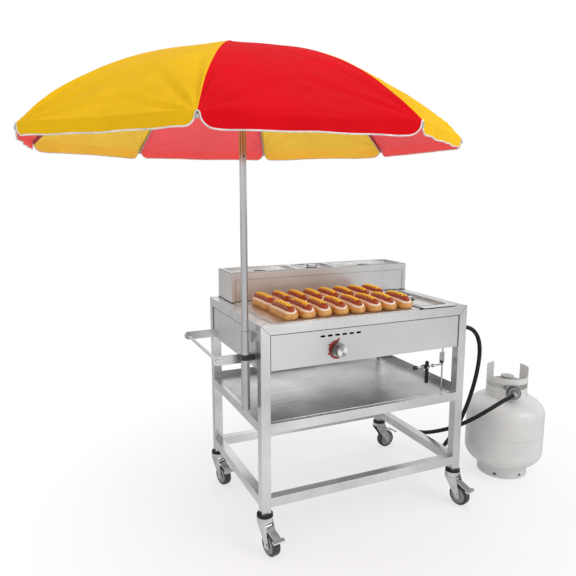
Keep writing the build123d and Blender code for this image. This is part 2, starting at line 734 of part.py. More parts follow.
def gas_burner():
    """Inlet barb, manifold, tap body and two burner tubes, brazed together."""
    tap_y = APRON_Y + SHEET
    made = rod((KNOB_X, tap_y, KNOB_Z), (KNOB_X, tap_y + TAP_LENGTH, KNOB_Z), TAP_R)
    elbow_x = INLET_X - INLET_ELBOW
    made += rod((elbow_x, INLET_Y, INLET_Z), (INLET_X, INLET_Y, INLET_Z), INLET_R)
    made += rod((elbow_x, INLET_Y, INLET_Z), (elbow_x, MANIFOLD_Y, INLET_Z), INLET_R)
    made += rod((KNOB_X, MANIFOLD_Y, INLET_Z), (elbow_x, MANIFOLD_Y, INLET_Z), INLET_R)
    for y in (INLET_Y, MANIFOLD_Y):
        made += Pos(elbow_x, y, INLET_Z) * Sphere(ELBOW_R)
    barb_end = (INLET_X + BARB_LENGTH, INLET_Y, INLET_Z)
    made += rod((INLET_X, INLET_Y, INLET_Z), barb_end, BARB_R)
    made += rod((INLET_X, INLET_Y, INLET_Z), (INLET_X + INLET_WASHER_H, INLET_Y, INLET_Z), INLET_WASHER_R)
    made += rod((KNOB_X, tap_y + TAP_LENGTH / 2, KNOB_Z), (KNOB_X, BURNER_Y[1], KNOB_Z), FEED_R)
    for y in BURNER_Y:
        made += rod((KNOB_X, y, KNOB_Z), (KNOB_X, y, BURNER_Z), FEED_R)
        made += Pos(KNOB_X, y, KNOB_Z) * Sphere(FEED_JOINT_R)
        made += rod((-SIDE_X + SHEET, y, BURNER_Z), (GRIDDLE_X[1] - BURNER_END_GAP, y, BURNER_Z), BURNER_R)
    ends = ((KNOB_X, tap_y - CUT, KNOB_Z), (KNOB_X, tap_y + TAP_LENGTH / 2, KNOB_Z))
    return made - rod(*ends, SPINDLE_R + RUN_CLEAR)


def knob_back():
    """Y of the knob's back face."""
    return APRON_Y - KNOB_GAP


def tap_spindle():
    """Spindle that turns in the tap and carries the knob."""
    tail = APRON_Y + SHEET + TAP_LENGTH / 2 - FREE_CLEAR
    tip = knob_back() - SKIRT_LENGTH - KNOB_LENGTH / 2
    return rod((KNOB_X, tail, KNOB_Z), (KNOB_X, tip, KNOB_Z), SPINDLE_R)


def knob():
    """Turned knob with a skirt, bored to slide on the spindle."""
    back = knob_back()
    front = back - SKIRT_LENGTH - KNOB_LENGTH
    made = rod((KNOB_X, back, KNOB_Z), (KNOB_X, back - SKIRT_LENGTH, KNOB_Z), SKIRT_R)
    made += rod((KNOB_X, back, KNOB_Z), (KNOB_X, front, KNOB_Z), KNOB_R)
    bore_end = back - SKIRT_LENGTH - KNOB_LENGTH / 2 - KNOB_PUSH - CUT
    return made - rod((KNOB_X, back + CUT, KNOB_Z), (KNOB_X, bore_end, KNOB_Z), SPINDLE_R + SLIDE_CLEAR)


def knob_scale():
    """Open ring with ticks, as a thin plate on the apron round the knob."""
    outer_r = SCALE_R + SCALE_W
    plate = ring(0, SCALE_THICK, outer_r, SCALE_R)
    open_deg = 360 - SCALE_TO_DEG + SCALE_FROM_DEG
    plate -= wedge(SCALE_FROM_DEG - open_deg / 2, open_deg, 2 * outer_r, (-CUT, SCALE_THICK + CUT))
    for turn in TICK_DEGS:
        tick = block((outer_r - SCALE_W / 2, outer_r + TICK_PROUD), about(0, TICK_W), (0, SCALE_THICK))
        plate += Rot(0, 0, turn) * tick
    return Pos(KNOB_X, APRON_Y, KNOB_Z) * Rot(90, 0, 0) * plate


# Drain


def drain_valve():
    """Drain pipe from the steam pan with a branch, a valve body and a nozzle."""
    pan_floor = DECK_Z - STEAM_DEPTH
    foot = SHELF_RAIL_TOP + DRAIN_END_RISE
    made = rod((DRAIN_X, DRAIN_Y, pan_floor), (DRAIN_X, DRAIN_Y, foot), DRAIN_R)

    def along(left, right, radius):
        return rod((left, DRAIN_Y, BRANCH_Z), (right, DRAIN_Y, BRANCH_Z), radius)

    end_x = DRAIN_X - BRANCH_LENGTH
    made += along(end_x, DRAIN_X, DRAIN_R) + Pos(DRAIN_X, DRAIN_Y, BRANCH_Z) * Sphere(DRAIN_TEE_R)
    made += along(*about(VALVE_X, VALVE_LENGTH), VALVE_R) + along(*about(end_x, NOZZLE_LENGTH), NOZZLE_R)
    made += along(*about(DRAIN_X - UNION_AT, UNION_LENGTH), UNION_R)
    stem_end = (VALVE_X, DRAIN_Y - VALVE_R - VALVE_STEM_LENGTH, BRANCH_Z)
    return made + rod((VALVE_X, DRAIN_Y, BRANCH_Z), stem_end, VALVE_STEM_R) + gauge()


def gauge():
    """Flat plate on the front of the drain pipe with a small knob at its lower left."""
    y = about(DRAIN_Y - DRAIN_R, GAUGE_THICK)
    x = about(DRAIN_X - GAUGE_LEFT, GAUGE_W)
    low = BRANCH_Z + GAUGE_RISE
    plate = block(x, y, (low, low + GAUGE_H))
    middle = (x[0] + GAUGE_KNOB_R, low + GAUGE_KNOB_R)
    tip = y[0] - GAUGE_KNOB_LENGTH
    return plate + rod((middle[0], y[1], middle[1]), (middle[0], tip, middle[1]), GAUGE_KNOB_R)


def drain_lever():
    """Flat lever that hangs from the valve's stem."""
    near = DRAIN_Y - VALVE_R - FREE_CLEAR
    y = (near - LEVER_THICK, near)
    head_z = BRANCH_Z + LEVER_HEAD_RISE
    arm = block(about(VALVE_X, LEVER_W), y, (SHELF_RAIL_TOP + LEVER_FOOT_RISE, head_z))
    arm = fillet(arm.edges().filter_by(Axis.Y).group_by(Axis.Z)[0], LEVER_W / 2 - FREE_CLEAR)
    arm += rod((VALVE_X, y[0], head_z), (VALVE_X, y[1], head_z), LEVER_HEAD_R)
    arm += rod((VALVE_X, y[0], BRANCH_Z), (VALVE_X, y[1], BRANCH_Z), VALVE_STEM_R + LEVER_EYE_WALL)
    ends = ((VALVE_X, y[0] - CUT, BRANCH_Z), (VALVE_X, y[1] + CUT, BRANCH_Z))
    return arm - rod(*ends, VALVE_STEM_R + RUN_CLEAR)


# Push handle


def push_handle():
    """Two flat bars on the left side with a round bar bolted between them."""
    pieces = []
    for y, side in zip(HANDLE_Y, SIDES):
        span = about(y, HANDLE_BAR_T)
        bar = block((HANDLE_X, -SIDE_X), span, about(HANDLE_Z, HANDLE_BAR_H))
        bar += rod((HANDLE_X, span[0], HANDLE_Z), (HANDLE_X, span[1], HANDLE_Z), HANDLE_BAR_H / 2)
        outer = span[0] if side < 0 else span[1]
        pieces.append(bar)
        pieces.append(rod((HANDLE_X, outer, HANDLE_Z), (HANDLE_X, outer + side * BOLT_H, HANDLE_Z), BOLT_R))
    inner = (HANDLE_Y[0] + HANDLE_BAR_T / 2, HANDLE_Y[1] - HANDLE_BAR_T / 2)
    pieces.append(rod((HANDLE_X, inner[0], HANDLE_Z), (HANDLE_X, inner[1], HANDLE_Z), HANDLE_ROD_R))
    return pieces


# Umbrella pole and socket


def pole_socket():
    """Sleeve with a bottom stop, held off the side panel by two brackets and a pin."""
    made = rod((POLE_X, POLE_Y, POLE_BOTTOM - SLEEVE_STOP), (POLE_X, POLE_Y, SLEEVE_TOP), SLEEVE_R)
    for z in (UPPER_BRACKET_Z, LOWER_BRACKET_Z):
        made += block((POLE_X, -SIDE_X), about(POLE_Y, BRACKET_W), z)
    ends = ((POLE_X, POLE_Y, POLE_BOTTOM), (POLE_X, POLE_Y, SLEEVE_TOP + CUT))
    made -= rod(*ends, POLE_R + SLIDE_CLEAR)
    made -= block(inward(-HALF_W, -1), about(POLE_Y, BRACKET_W + CUT), RAIL_Z)
    pin_x = (POLE_X + SLEEVE_R - SIDE_X) / 2
    pin_y = POLE_Y - BRACKET_W / 4
    pin = rod((pin_x, pin_y, LOWER_BRACKET_Z[1]), (pin_x, pin_y, UPPER_BRACKET_Z[0]), BRACKET_PIN_R)
    bolt_z = sum(UPPER_BRACKET_Z) / 2
    face = POLE_Y - BRACKET_W / 2
    bolt = rod((pin_x, face, bolt_z), (pin_x, face - BOLT_H, bolt_z), BRACKET_BOLT_R)
    return [made, pin, bolt]


def spoked(piece, offset=0.0):
    """One piece turned to every rib's direction about the pole, beside the rib by an offset."""
    turns = [Rot(0, 0, RIB_PHASE + 360 / RIB_COUNT * i) for i in range(RIB_COUNT)]
    return [Pos(POLE_X, POLE_Y, 0) * turn * Pos(0, offset, 0) * piece for turn in turns]


def umbrella_pole():
    """Pole with the crown that the ribs hinge on, their pins and a low cap."""
    crown_top = HINGE_Z + RIB_H / 2
    pole = rod((POLE_X, POLE_Y, POLE_BOTTOM), (POLE_X, POLE_Y, crown_top), POLE_R)
    inner_top = crown_top - CROWN_BELOW - RIB_H
    pole -= rod((POLE_X, POLE_Y, POLE_BOTTOM - CUT), (POLE_X, POLE_Y, inner_top), POLE_R - POLE_WALL)
    hole_end = (POLE_X, POLE_Y - POLE_R - CUT, LATCH_HOLE_Z)
    pole -= rod((POLE_X, POLE_Y, LATCH_HOLE_Z), hole_end, LATCH_HOLE_R)
    crown = Pos(POLE_X, POLE_Y, 0) * ring(HINGE_Z - CROWN_BELOW, crown_top, CROWN_R, POLE_R)
    slot_w = RIB_T + 2 * SLOT_SIDE_GAP
    z = (HINGE_Z - CROWN_BELOW - CUT, crown_top + CUT)
    slot = block((HINGE_R - RIB_H / 2 - SLOT_END_GAP, CROWN_R + CUT), about(0, slot_w), z)
    for cut in spoked(slot):
        crown -= cut
    pin = rod((HINGE_R, -slot_w, HINGE_Z), (HINGE_R, slot_w, HINGE_Z), HINGE_PIN_R)
    for bar in spoked(pin):
        crown += bar
    cap = Pos(POLE_X, POLE_Y, 0) * ring(APEX_Z, APEX_Z + CAP_H, CAP_R, CAP_STEM_R)
    stem = rod((POLE_X, POLE_Y, crown_top), (POLE_X, POLE_Y, APEX_Z + CAP_H), CAP_STEM_R)
    return [pole + crown, cap + stem]


def runner():
    """Sliding ring with a pin for every stretcher."""
    made = Pos(POLE_X, POLE_Y, 0) * ring(*RUNNER_Z, RUNNER_R, POLE_R + SLIDE_CLEAR)
    slot_w = STRETCHER_T + 2 * SLOT_SIDE_GAP
    floor = RUNNER_HINGE_R - STRETCHER_H / 2 - SLOT_END_GAP
    slot = block((floor, RUNNER_R + CUT), about(0, slot_w), grown(RUNNER_Z, CUT))
    for cut in spoked(slot, STRETCHER_OFFSET):
        made -= cut
    ends = ((RUNNER_HINGE_R, -slot_w, RUNNER_HINGE_Z), (RUNNER_HINGE_R, slot_w, RUNNER_HINGE_Z))
    for bar in spoked(rod(*ends, HINGE_PIN_R), STRETCHER_OFFSET):
        made += bar
    return made


def ribs():
    """Curved ribs with an eye at the crown and a round tip."""
    start = math.asin(HINGE_R / RIB_MID_R)
    end = math.asin(RIM_R / RIB_MID_R)

    def at(radius, turn):
        return (radius * math.sin(turn), RIB_CENTRE_Z + radius * math.cos(turn))

    low = RIB_TOP_R - RIB_H
    mid = (start + end) / 2
    upper = ThreePointArc(at(RIB_TOP_R, start), at(RIB_TOP_R, mid), at(RIB_TOP_R, end))
    lower = ThreePointArc(at(low, end), at(low, mid), at(low, start))
    outline = make_face([upper, Line(upper @ 1, lower @ 0), lower, Line(lower @ 1, upper @ 0)])
    rib = extrude(Plane.XZ * outline, RIB_T / 2, both=True)
    rib += rod((HINGE_R, -RIB_T / 2, HINGE_Z), (HINGE_R, RIB_T / 2, HINGE_Z), RIB_H / 2)
    rib -= rod((HINGE_R, -RIB_T, HINGE_Z), (HINGE_R, RIB_T, HINGE_Z), HINGE_PIN_R + RUN_CLEAR)
    rib += Pos(RIM_R, 0, rib_height(RIM_R)) * Sphere(RIB_TIP_R)
    return spoked(rib)


def stretchers():
    """Straight arms from the runner to the ribs' sides."""
    bar = extrude(SlotCenterToCenter(STRETCHER_LENGTH, STRETCHER_H), STRETCHER_T / 2, both=True)
    bar = Pos(STRETCHER_LENGTH / 2, 0, 0) * bar
    bar -= Cylinder(HINGE_PIN_R + RUN_CLEAR, 2 * STRETCHER_T)
    bar = Pos(RUNNER_HINGE_R, 0, RUNNER_HINGE_Z) * Rot(0, -STRETCHER_DEG, 0) * Rot(90, 0, 0) * bar
    return spoked(bar, STRETCHER_OFFSET)


def canopy():
    """Eight gores that curve from the cap to the rim, each with a hanging flap."""
    centre_z = APEX_Z - GORE_ARC_R

    def at(radius, turn):
        return (radius * math.sin(turn), centre_z + radius * math.cos(turn))

    inner = GORE_ARC_R - CLOTH
    start = math.asin(POLE_R / GORE_ARC_R)
    end = math.asin(MID_RIM_R / GORE_ARC_R)
    mid = (start + end) / 2
    upper = ThreePointArc(at(GORE_ARC_R, start), at(GORE_ARC_R, mid), at(GORE_ARC_R, end))
    lower = ThreePointArc(at(inner, end), at(inner, mid), at(inner, start))
    outline = make_face([upper, Line(upper @ 1, lower @ 0), lower, Line(lower @ 1, upper @ 0)])
    half_chord = RIM_R * math.sin(GORE_HALF)
    gore = extrude(Plane.XZ * outline, half_chord, both=True)
    gore &= wedge(0, 360 / RIB_COUNT, 2 * RIM_R, (RIM_Z - DOME_H, APEX_Z + DOME_H))
    flap_half = half_chord - FLAP_NOTCH
    flap = block((MID_RIM_R - CLOTH, MID_RIM_R), (-flap_half, flap_half), (RIM_Z - FLAP_H, RIM_Z))
    flap = fillet(flap.edges().filter_by(Axis.X).group_by(Axis.Z)[0], FLAP_CORNER_R)
    half_step = Rot(0, 0, 180 / RIB_COUNT)
    return spoked(half_step * (gore + flap))


# Casters


def caster_places():
    """Name, swivel axis and heading of every caster."""
    places = []
    for sx, across in zip(SIDES, ("left", "right")):
        for sy, along in zip(SIDES, ("front", "back")):
            name = f"{along}_{across}"
            places.append((name, sx * (HALF_W - TUBE / 2), sy * (HALF_D - TUBE / 2), CASTER_TURN[name]))
    return places


def swivelled(piece, place):
    """A caster's piece, drawn at the origin and trailing along +X, at its leg."""
    return Pos(place[1], place[2], 0) * Rot(0, 0, place[3]) * piece


def caster_plugs():
    """Plastic plugs in the legs' ends, with a flange under each leg."""
    inside = about(0, TUBE - 2 * TUBE_WALL - 2 * FREE_CLEAR)
    plug = block(inside, inside, (LEG_BOTTOM, LEG_BOTTOM + PLUG_DEPTH))
    plug += rod((0, 0, CUP_TOP), (0, 0, LEG_BOTTOM), PLUG_FLANGE_R)
    return [Pos(place[1], place[2], 0) * plug for place in caster_places()]


def swivel_cups():
    """Fixed cups under the plugs, each with the king pin and nut that its fork turns on."""
    nut_top = HEAD_TOP - HEAD_H - KING_NUT_GAP
    cup = rod((0, 0, CUP_TOP), (0, 0, CUP_TOP - CUP_H), CUP_R)
    cup += rod((0, 0, CUP_TOP), (0, 0, nut_top - KING_NUT_H), KING_PIN_R)
    cup += rod((0, 0, nut_top), (0, 0, nut_top - KING_NUT_H), KING_NUT_R)
    return [Pos(place[1], place[2], 0) * cup for place in caster_places()]


def pedal_travel():
    """Degrees that a brake pedal tips before its plate is a clearance off the tyre."""
    run = CASTER_TRAIL - PEDAL_AHEAD
    drop = PEDAL_Z - WHEEL_R
    least = WHEEL_R + PEDAL_THICK / 2 + FREE_CLEAR
    return math.degrees(math.acos(least / math.hypot(run, drop)) - math.atan2(run, drop)) - PEDAL_SLOPE


def across_fork(x, z, half, radius):
    """A round bar across a fork, by its place and half its length."""
    return rod((x, -half, z), (x, half, z), radius)


def caster_fork(place):
    """Head, two cheeks, the axle with its heads and the pedal's pin."""
    under = HEAD_TOP - HEAD_H
    neck = HEAD_TOP - HEAD_H / 2
    head = rod((0, 0, HEAD_TOP), (0, 0, under), HEAD_R)
    profile = Polyline(
        (-FORK_HALF_W, neck),
        (-FORK_HALF_W, under - HEAD_H),
        (CASTER_TRAIL - FORK_EYE_R, WHEEL_R),
        (CASTER_TRAIL + FORK_EYE_R, WHEEL_R),
        (PEDAL_AHEAD + FORK_EYE_R, PEDAL_Z),
        (FORK_HALF_W, neck),
        close=True,
    )
    cheek = extrude(Plane.XZ * make_face(profile), FORK_THICK / 2, both=True)
    cheek += across_fork(CASTER_TRAIL, WHEEL_R, FORK_THICK / 2, FORK_EYE_R)
    for side in SIDES:
        head += Pos(0, side * (FORK_GAP + FORK_THICK) / 2, 0) * cheek
    head -= rod((0, 0, under - CUT), (0, 0, HEAD_TOP + CUT), KING_PIN_R + RUN_CLEAR)
    outer = FORK_GAP / 2 + FORK_THICK
    axle = across_fork(CASTER_TRAIL, WHEEL_R, outer + AXLE_HEAD_H, AXLE_HEAD_R)
    axle -= across_fork(CASTER_TRAIL, WHEEL_R, outer, AXLE_HEAD_R + CUT)
    axle += across_fork(CASTER_TRAIL, WHEEL_R, outer, AXLE_R)
    pin = across_fork(PEDAL_AHEAD, PEDAL_Z, outer, PEDAL_PIN_R)
    return [swivelled(head + axle + pin, place)]


def caster_wheel(place):
    """Wheel with a rounded tread and a bored hub."""
    wheel = Cylinder(WHEEL_R, WHEEL_W)
    wheel = fillet(wheel.edges(), TREAD_R)
    wheel += Cylinder(HUB_R, HUB_W)
    ring_at = WHEEL_W / 2 + HUB_RING_PROUD
    wheel += ring(-ring_at, ring_at, HUB_RING_R, HUB_RING_R - HUB_RING_W)
    wheel -= Cylinder(AXLE_R + RUN_CLEAR, HUB_W + CUT)
    return [swivelled(Pos(CASTER_TRAIL, 0, WHEEL_R) * Rot(90, 0, 0) * wheel, place)]


def brake_pedal(place):
    """Sloping plate on its pivot with a wide tread bar at its end."""
    half = WHEEL_W / 2
    plate = block((0, PEDAL_LENGTH), (-half, half), about(0, PEDAL_THICK))
    plate += across_fork(0, 0, half, PEDAL_PIN_R + PEDAL_THICK)
    tread = block(about(PEDAL_LENGTH, PEDAL_TREAD_LENGTH), about(0, PEDAL_TREAD_W), about(0, PEDAL_TREAD_H))
    plate += fillet(tread.edges().filter_by(Axis.Y), PEDAL_TREAD_EDGE_R)
    plate -= across_fork(0, 0, half + CUT, PEDAL_PIN_R + RUN_CLEAR)
    return [swivelled(Pos(PEDAL_AHEAD, 0, PEDAL_Z) * Rot(0, PEDAL_SLOPE, 0) * plate, place)]


# Gas cylinder


def at_tank(piece, turn=0.0):
    """A piece drawn about the Z axis, moved to the cylinder and turned."""
    return Pos(TANK_X, TANK_Y, 0) * Rot(0, 0, turn) * piece


def tank_profile(inset):
    """Half outline of the tank, taken in by a wall."""
    radius = TANK_R - inset
    head = TANK_HEAD - inset
    bottom = EllipticalCenterArc((0, TANK_KNUCKLE), radius, head, start_angle=-90, arc_size=90)
    top = EllipticalCenterArc((0, TANK_SHOULDER), radius, head, start_angle=0, arc_size=90)
    edges = [bottom, Line(bottom @ 1, top @ 0), top, Line(top @ 1, bottom @ 0)]
    return Plane.XZ * make_face(edges)


def gas_cylinder():
    """Tank with a neck hole and a weld bead, its foot ring and its collar."""
    full = revolve(tank_profile(0), Axis.Z)
    bead_z = (TANK_KNUCKLE + TANK_SHOULDER) / 2
    tank = full + ring(*about(bead_z, SEAM_W), TANK_R + SEAM_H, TANK_R - TANK_WALL)
    tank -= revolve(tank_profile(TANK_WALL), Axis.Z)
    tank -= rod((0, 0, TANK_SHOULDER), (0, 0, TANK_TOP + CUT), NECK_R)
    foot = ring(0, TANK_KNUCKLE, FOOT_R, FOOT_R - FOOT_WALL)
    vent = make_face(Polyline((-FOOT_VENT_W / 2, 0), (FOOT_VENT_W / 2, 0), (0, FOOT_VENT_H), close=True))
    vent = extrude(Plane.XZ * vent, FOOT_WALL + CUT, both=True)
    for i in range(FOOT_VENTS):
        foot -= Rot(0, 0, 360 / FOOT_VENTS * i) * Pos(0, FOOT_R, FOOT_VENT_H) * vent
    return [at_tank(tank), at_tank(foot - full), at_tank(collar() - full, COLLAR_DEG)]


def collar():
    """Guard ring: a low wall, a band across the front, and an ear on a post at each end of the band."""
    reach = 2 * COLLAR_R
    guard = ring(TANK_SHOULDER, COLLAR_TOP, COLLAR_R, COLLAR_R - COLLAR_WALL)
    above = COLLAR_TOP + CUT
    front_deg = 2 * EAR_AT - EAR_DEG
    guard -= wedge(0, front_deg, reach, (COLLAR_BAND_Z[0] - COLLAR_WINDOW_H, COLLAR_BAND_Z[0]))
    guard -= wedge(0, front_deg, reach, (COLLAR_BAND_Z[1], above))
    back_deg = 360 - 2 * EAR_AT - EAR_DEG
    guard -= wedge(180, back_deg, reach, (COLLAR_BAND_Z[0] - COLLAR_BACK_DROP, above))
    notch_z = (OUTLET_Z - NUT_R - OUTLET_NOTCH_CLEAR, COLLAR_BAND_Z[0])
    return guard - wedge(OUTLET_DEG - COLLAR_DEG, OUTLET_NOTCH_DEG, reach, notch_z)


def cylinder_valve():
    """Valve body in the neck with its outlet and coupling nut towards the front window."""
    stub = rod((0, 0, TANK_TOP - TANK_WALL), (0, 0, VALVE_BODY_TOP), VALVE_BODY_R)
    stub += rod((0, 0, TANK_TOP), (0, 0, TANK_TOP + TANK_WALL), NECK_R + TANK_WALL)
    stub += rod((0, 0, OUTLET_Z), (NUT_AT, 0, OUTLET_Z), OUTLET_R)
    stub += rod((NUT_AT, 0, OUTLET_Z), (NUT_END, 0, OUTLET_Z), NUT_R)
    stub += rod((0, 0, VALVE_BODY_TOP), (0, 0, VALVE_BODY_TOP + HANDWHEEL_H), WHEEL_STEM_R)
    return at_tank(stub, OUTLET_DEG)


def valve_handwheel():
    """Lobed handwheel on the valve's stem."""
    low = VALVE_BODY_TOP + FREE_CLEAR
    wheel = ring(low, low + HANDWHEEL_H, HANDWHEEL_R, WHEEL_STEM_R + RUN_CLEAR)
    notch = Cylinder(HANDWHEEL_NOTCH_R, HANDWHEEL_H + CUT)
    notch = Pos(HANDWHEEL_R + HANDWHEEL_NOTCH_R / 2, 0, low + HANDWHEEL_H / 2) * notch
    for i in range(HANDWHEEL_LOBES):
        wheel -= Rot(0, 0, 360 / HANDWHEEL_LOBES * i) * notch
    return at_tank(wheel, OUTLET_DEG)


def outlet_point(reach):
    """A point on the outlet's axis, by its distance from the tank's axis."""
    turn = math.radians(OUTLET_DEG)
    return (TANK_X + reach * math.cos(turn), TANK_Y + reach * math.sin(turn), OUTLET_Z)


# Hose

HOSE_ROUTE = [
    (86.0, -213.0, 660.0),
    (115.0, -212.0, 628.0),
    (129.0, -211.0, 582.0),
    (129.0, -210.0, 530.0),
    (121.0, -209.0, 474.0),
    (108.0, -207.0, 418.0),
    (91.0, -205.0, 364.0),
    (71.0, -200.0, 310.0),
    (56.0, -187.0, 256.0),
    (49.0, -160.0, 206.0),
    (53.0, -124.0, 160.0),
    (72.0, -86.0, 118.0),
    (102.0, -44.0, 90.0),
    (126.0, 4.0, 70.0),
    (137.0, 50.0, 61.0),
    (136.0, 92.0, 62.0),
    (120.0, 128.0, 75.0),
    (91.0, 148.0, 96.0),
    (59.0, 148.0, 121.0),
    (30.0, 128.0, 142.0),
    (14.0, 92.0, 154.0),
    HOSE_CLIP_POINT,
    (14.0, -6.0, 172.0),
    (16.0, -62.0, 193.0),
    (20.0, -120.0, 222.0),
    (32.0, -178.0, 254.0),
    (62.0, -222.0, 287.0),
    (106.0, -243.0, 314.0),
    (150.0, -254.0, 338.0),
    (194.0, -258.0, 357.0),
    (238.0, -254.0, 369.0),
]


def regulator_elbow():
    """Where the regulator's barb turns off the outlet's axis."""
    return outlet_point(REGULATOR_END + REGULATOR_ELBOW)


def hose_route():
    """The points of the hose's route that are chosen by hand."""
    return [Vector(HALF_W + x, y, z) for x, y, z in HOSE_ROUTE]


def hose_points():
    """The hose's route, with its ends in line with the inlet's and the regulator's barbs."""
    start = Vector(INLET_X + BARB_LENGTH, INLET_Y, INLET_Z)
    first = start + Vector(HOSE_FIRST_RUN, 0, 0)
    route = hose_route()
    elbow = Vector(*regulator_elbow())
    back = (route[-1] - elbow).normalized()
    return [start, first] + route + [elbow + back * BARB_LENGTH]


def regulator():
    """Round regulator on the nut, with an elbow that ends in the hose's barb."""
    body = rod(outlet_point(NUT_END), outlet_point(REGULATOR_END), REGULATOR_R)
    elbow = regulator_elbow()
    body += rod(outlet_point(REGULATOR_END), elbow, HOSE_D / 2)
    body += Pos(*elbow) * Sphere(HOSE_D / 2)
    return body + rod(elbow, hose_points()[-1], BARB_R)


def hose_path():
    """Straight runs joined by arcs as large as the runs allow."""
    points = hose_points()
    runs = [after - before for before, after in zip(points, points[1:])]
    radii = []
    for first, second in zip(runs, runs[1:]):
        half_turn = math.radians(first.get_angle(second)) / 2
        radii.append(HOSE_BEND_SHARE * min(first.length, second.length) / math.tan(half_turn))
    print("hose radii", [round(radius) for radius in radii])
    return FilletPolyline(*points, radius=radii)


def gas_hose():
    """Rubber hose from the inlet barb to the regulator's barb."""
    path = hose_path()
    start = Plane(origin=path @ 0, z_dir=path % 0)
    hose = sweep(start * Circle(HOSE_D / 2), path=path)
    tube = path.length * math.pi * HOSE_D**2 / 4
    print("hose length", round(path.length), "volume share", hose.volume / tube)
    return hose


def hose_clip():
    """Clip that holds the hose to the outside of the right base rail."""
    step = HOSE_ROUTE.index(HOSE_CLIP_POINT)
    before, at, after = hose_route()[step - 1 : step + 2]
    run = (after - before).normalized()
    inner = HOSE_D / 2 + HOSE_CLIP_CLEAR
    band = Cylinder(inner + HOSE_CLIP_WALL, HOSE_CLIP_W) - Cylinder(inner, HOSE_CLIP_W + CUT)
    band = Plane(origin=at, z_dir=run) * band
    y = about(at.Y, HOSE_CLIP_W)
    arm_z = at.Z + inner
    arm = block((HALF_W, at.X), y, (arm_z, arm_z + HOSE_CLIP_WALL))
    rail_middle = sum(BASE_RAIL_Z) / 2
    tab_z = grown((min(arm_z, rail_middle), max(arm_z, rail_middle)), HOSE_CLIP_TAB)
    return band + arm + block((HALF_W, HALF_W + HOSE_CLIP_WALL), y, tab_z)


def all_nodes():
    """Every node's solids by name, about the middle of the cart's frame."""
    lids = condiment_spans()
    lid_y = grown(BOX_Y, -BOX_WALL)
    nodes = {
        "tube_frame": frame_legs() + frame_rails(),
        "body_panels": [apron(), side_panel(-1), side_panel(1), back_panel()],
        "deck_plate": deck_plate(),
        "shelf_pan": [shelf_pan()],
        "griddle_plate": [griddle_plate()],
        "hot_dogs": hot_dogs(),
        "gas_burner": [gas_burner()],
        "tap_spindle": [tap_spindle()],
        "knob": [knob()],
        "knob_scale": [knob_scale()],
        "condiment_box": [condiment_box()],
        "food_pans": food_pans(),
        "steam_pan": [steam_pan()],
        "lid_left": [barred_lid(lids[0], lid_y, LID_SEAT)],
        "lid_middle": looped_lid(lid_y, lids[1], lid_y, LID_SEAT),
        "lid_right": [barred_lid(lids[2], lid_y, LID_SEAT)],
        "steam_lid": looped_lid(DECK_TOP_Y, STEAM_X, COOK_Y, STEAM_SEAT),
        "drain_valve": [drain_valve()],
        "drain_lever": [drain_lever()],
        "push_handle": push_handle(),
        "pole_socket": pole_socket(),
        "umbrella_pole": umbrella_pole(),
        "runner": [runner()],
        "canopy": canopy(),
        "caster_plugs": caster_plugs(),
        "swivel_cups": swivel_cups(),
        "gas_cylinder": gas_cylinder(),
        "cylinder_valve": [cylinder_valve()],
        "valve_handwheel": [valve_handwheel()],
        "regulator": [regulator()],
        "hose_clip": [hose_clip()],
        "gas_hose": [gas_hose()],
    }
    for i, (rib, arm) in enumerate(zip(ribs(), stretchers())):
        nodes[f"rib_{i + 1}"] = [rib]
        nodes[f"stretcher_{i + 1}"] = [arm]
    for place in caster_places():
        nodes[f"caster_fork_{place[0]}"] = caster_fork(place)
        nodes[f"caster_wheel_{place[0]}"] = caster_wheel(place)
        nodes[f"brake_pedal_{place[0]}"] = brake_pedal(place)
    return nodes


def origin_shift(nodes):
    """The move that puts the origin on the floor below the middle of the object without its hose."""
    pieces = [piece for name, group in nodes.items() if name != "gas_hose" for piece in group]
    solids = [solid for piece in pieces for solid in piece.solids()]
    middle = Compound(solids).bounding_box().center()
    return Vector(-middle.X, -middle.Y, 0)


NODES = all_nodes()
SHIFT = origin_shift(NODES)


def main():
    os.makedirs("parts", exist_ok=True)
    for name, pieces in NODES.items():
        solids = [solid for piece in pieces for solid in piece.solids()]
        export_step(Pos(SHIFT.X, SHIFT.Y, 0) * Compound(solids), f"parts/{name}.step")
    print("nodes", len(NODES), "shift", SHIFT)
    print("runner travel", RUNNER_TRAVEL, "rib turn", RIB_TURN, "stretcher turn", STRETCHER_TURN)
    print("pedal turn", pedal_travel())


main()
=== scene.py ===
import functools
import json
import math
import random

import bmesh
import bpy
from mathutils import Matrix, Vector, noise


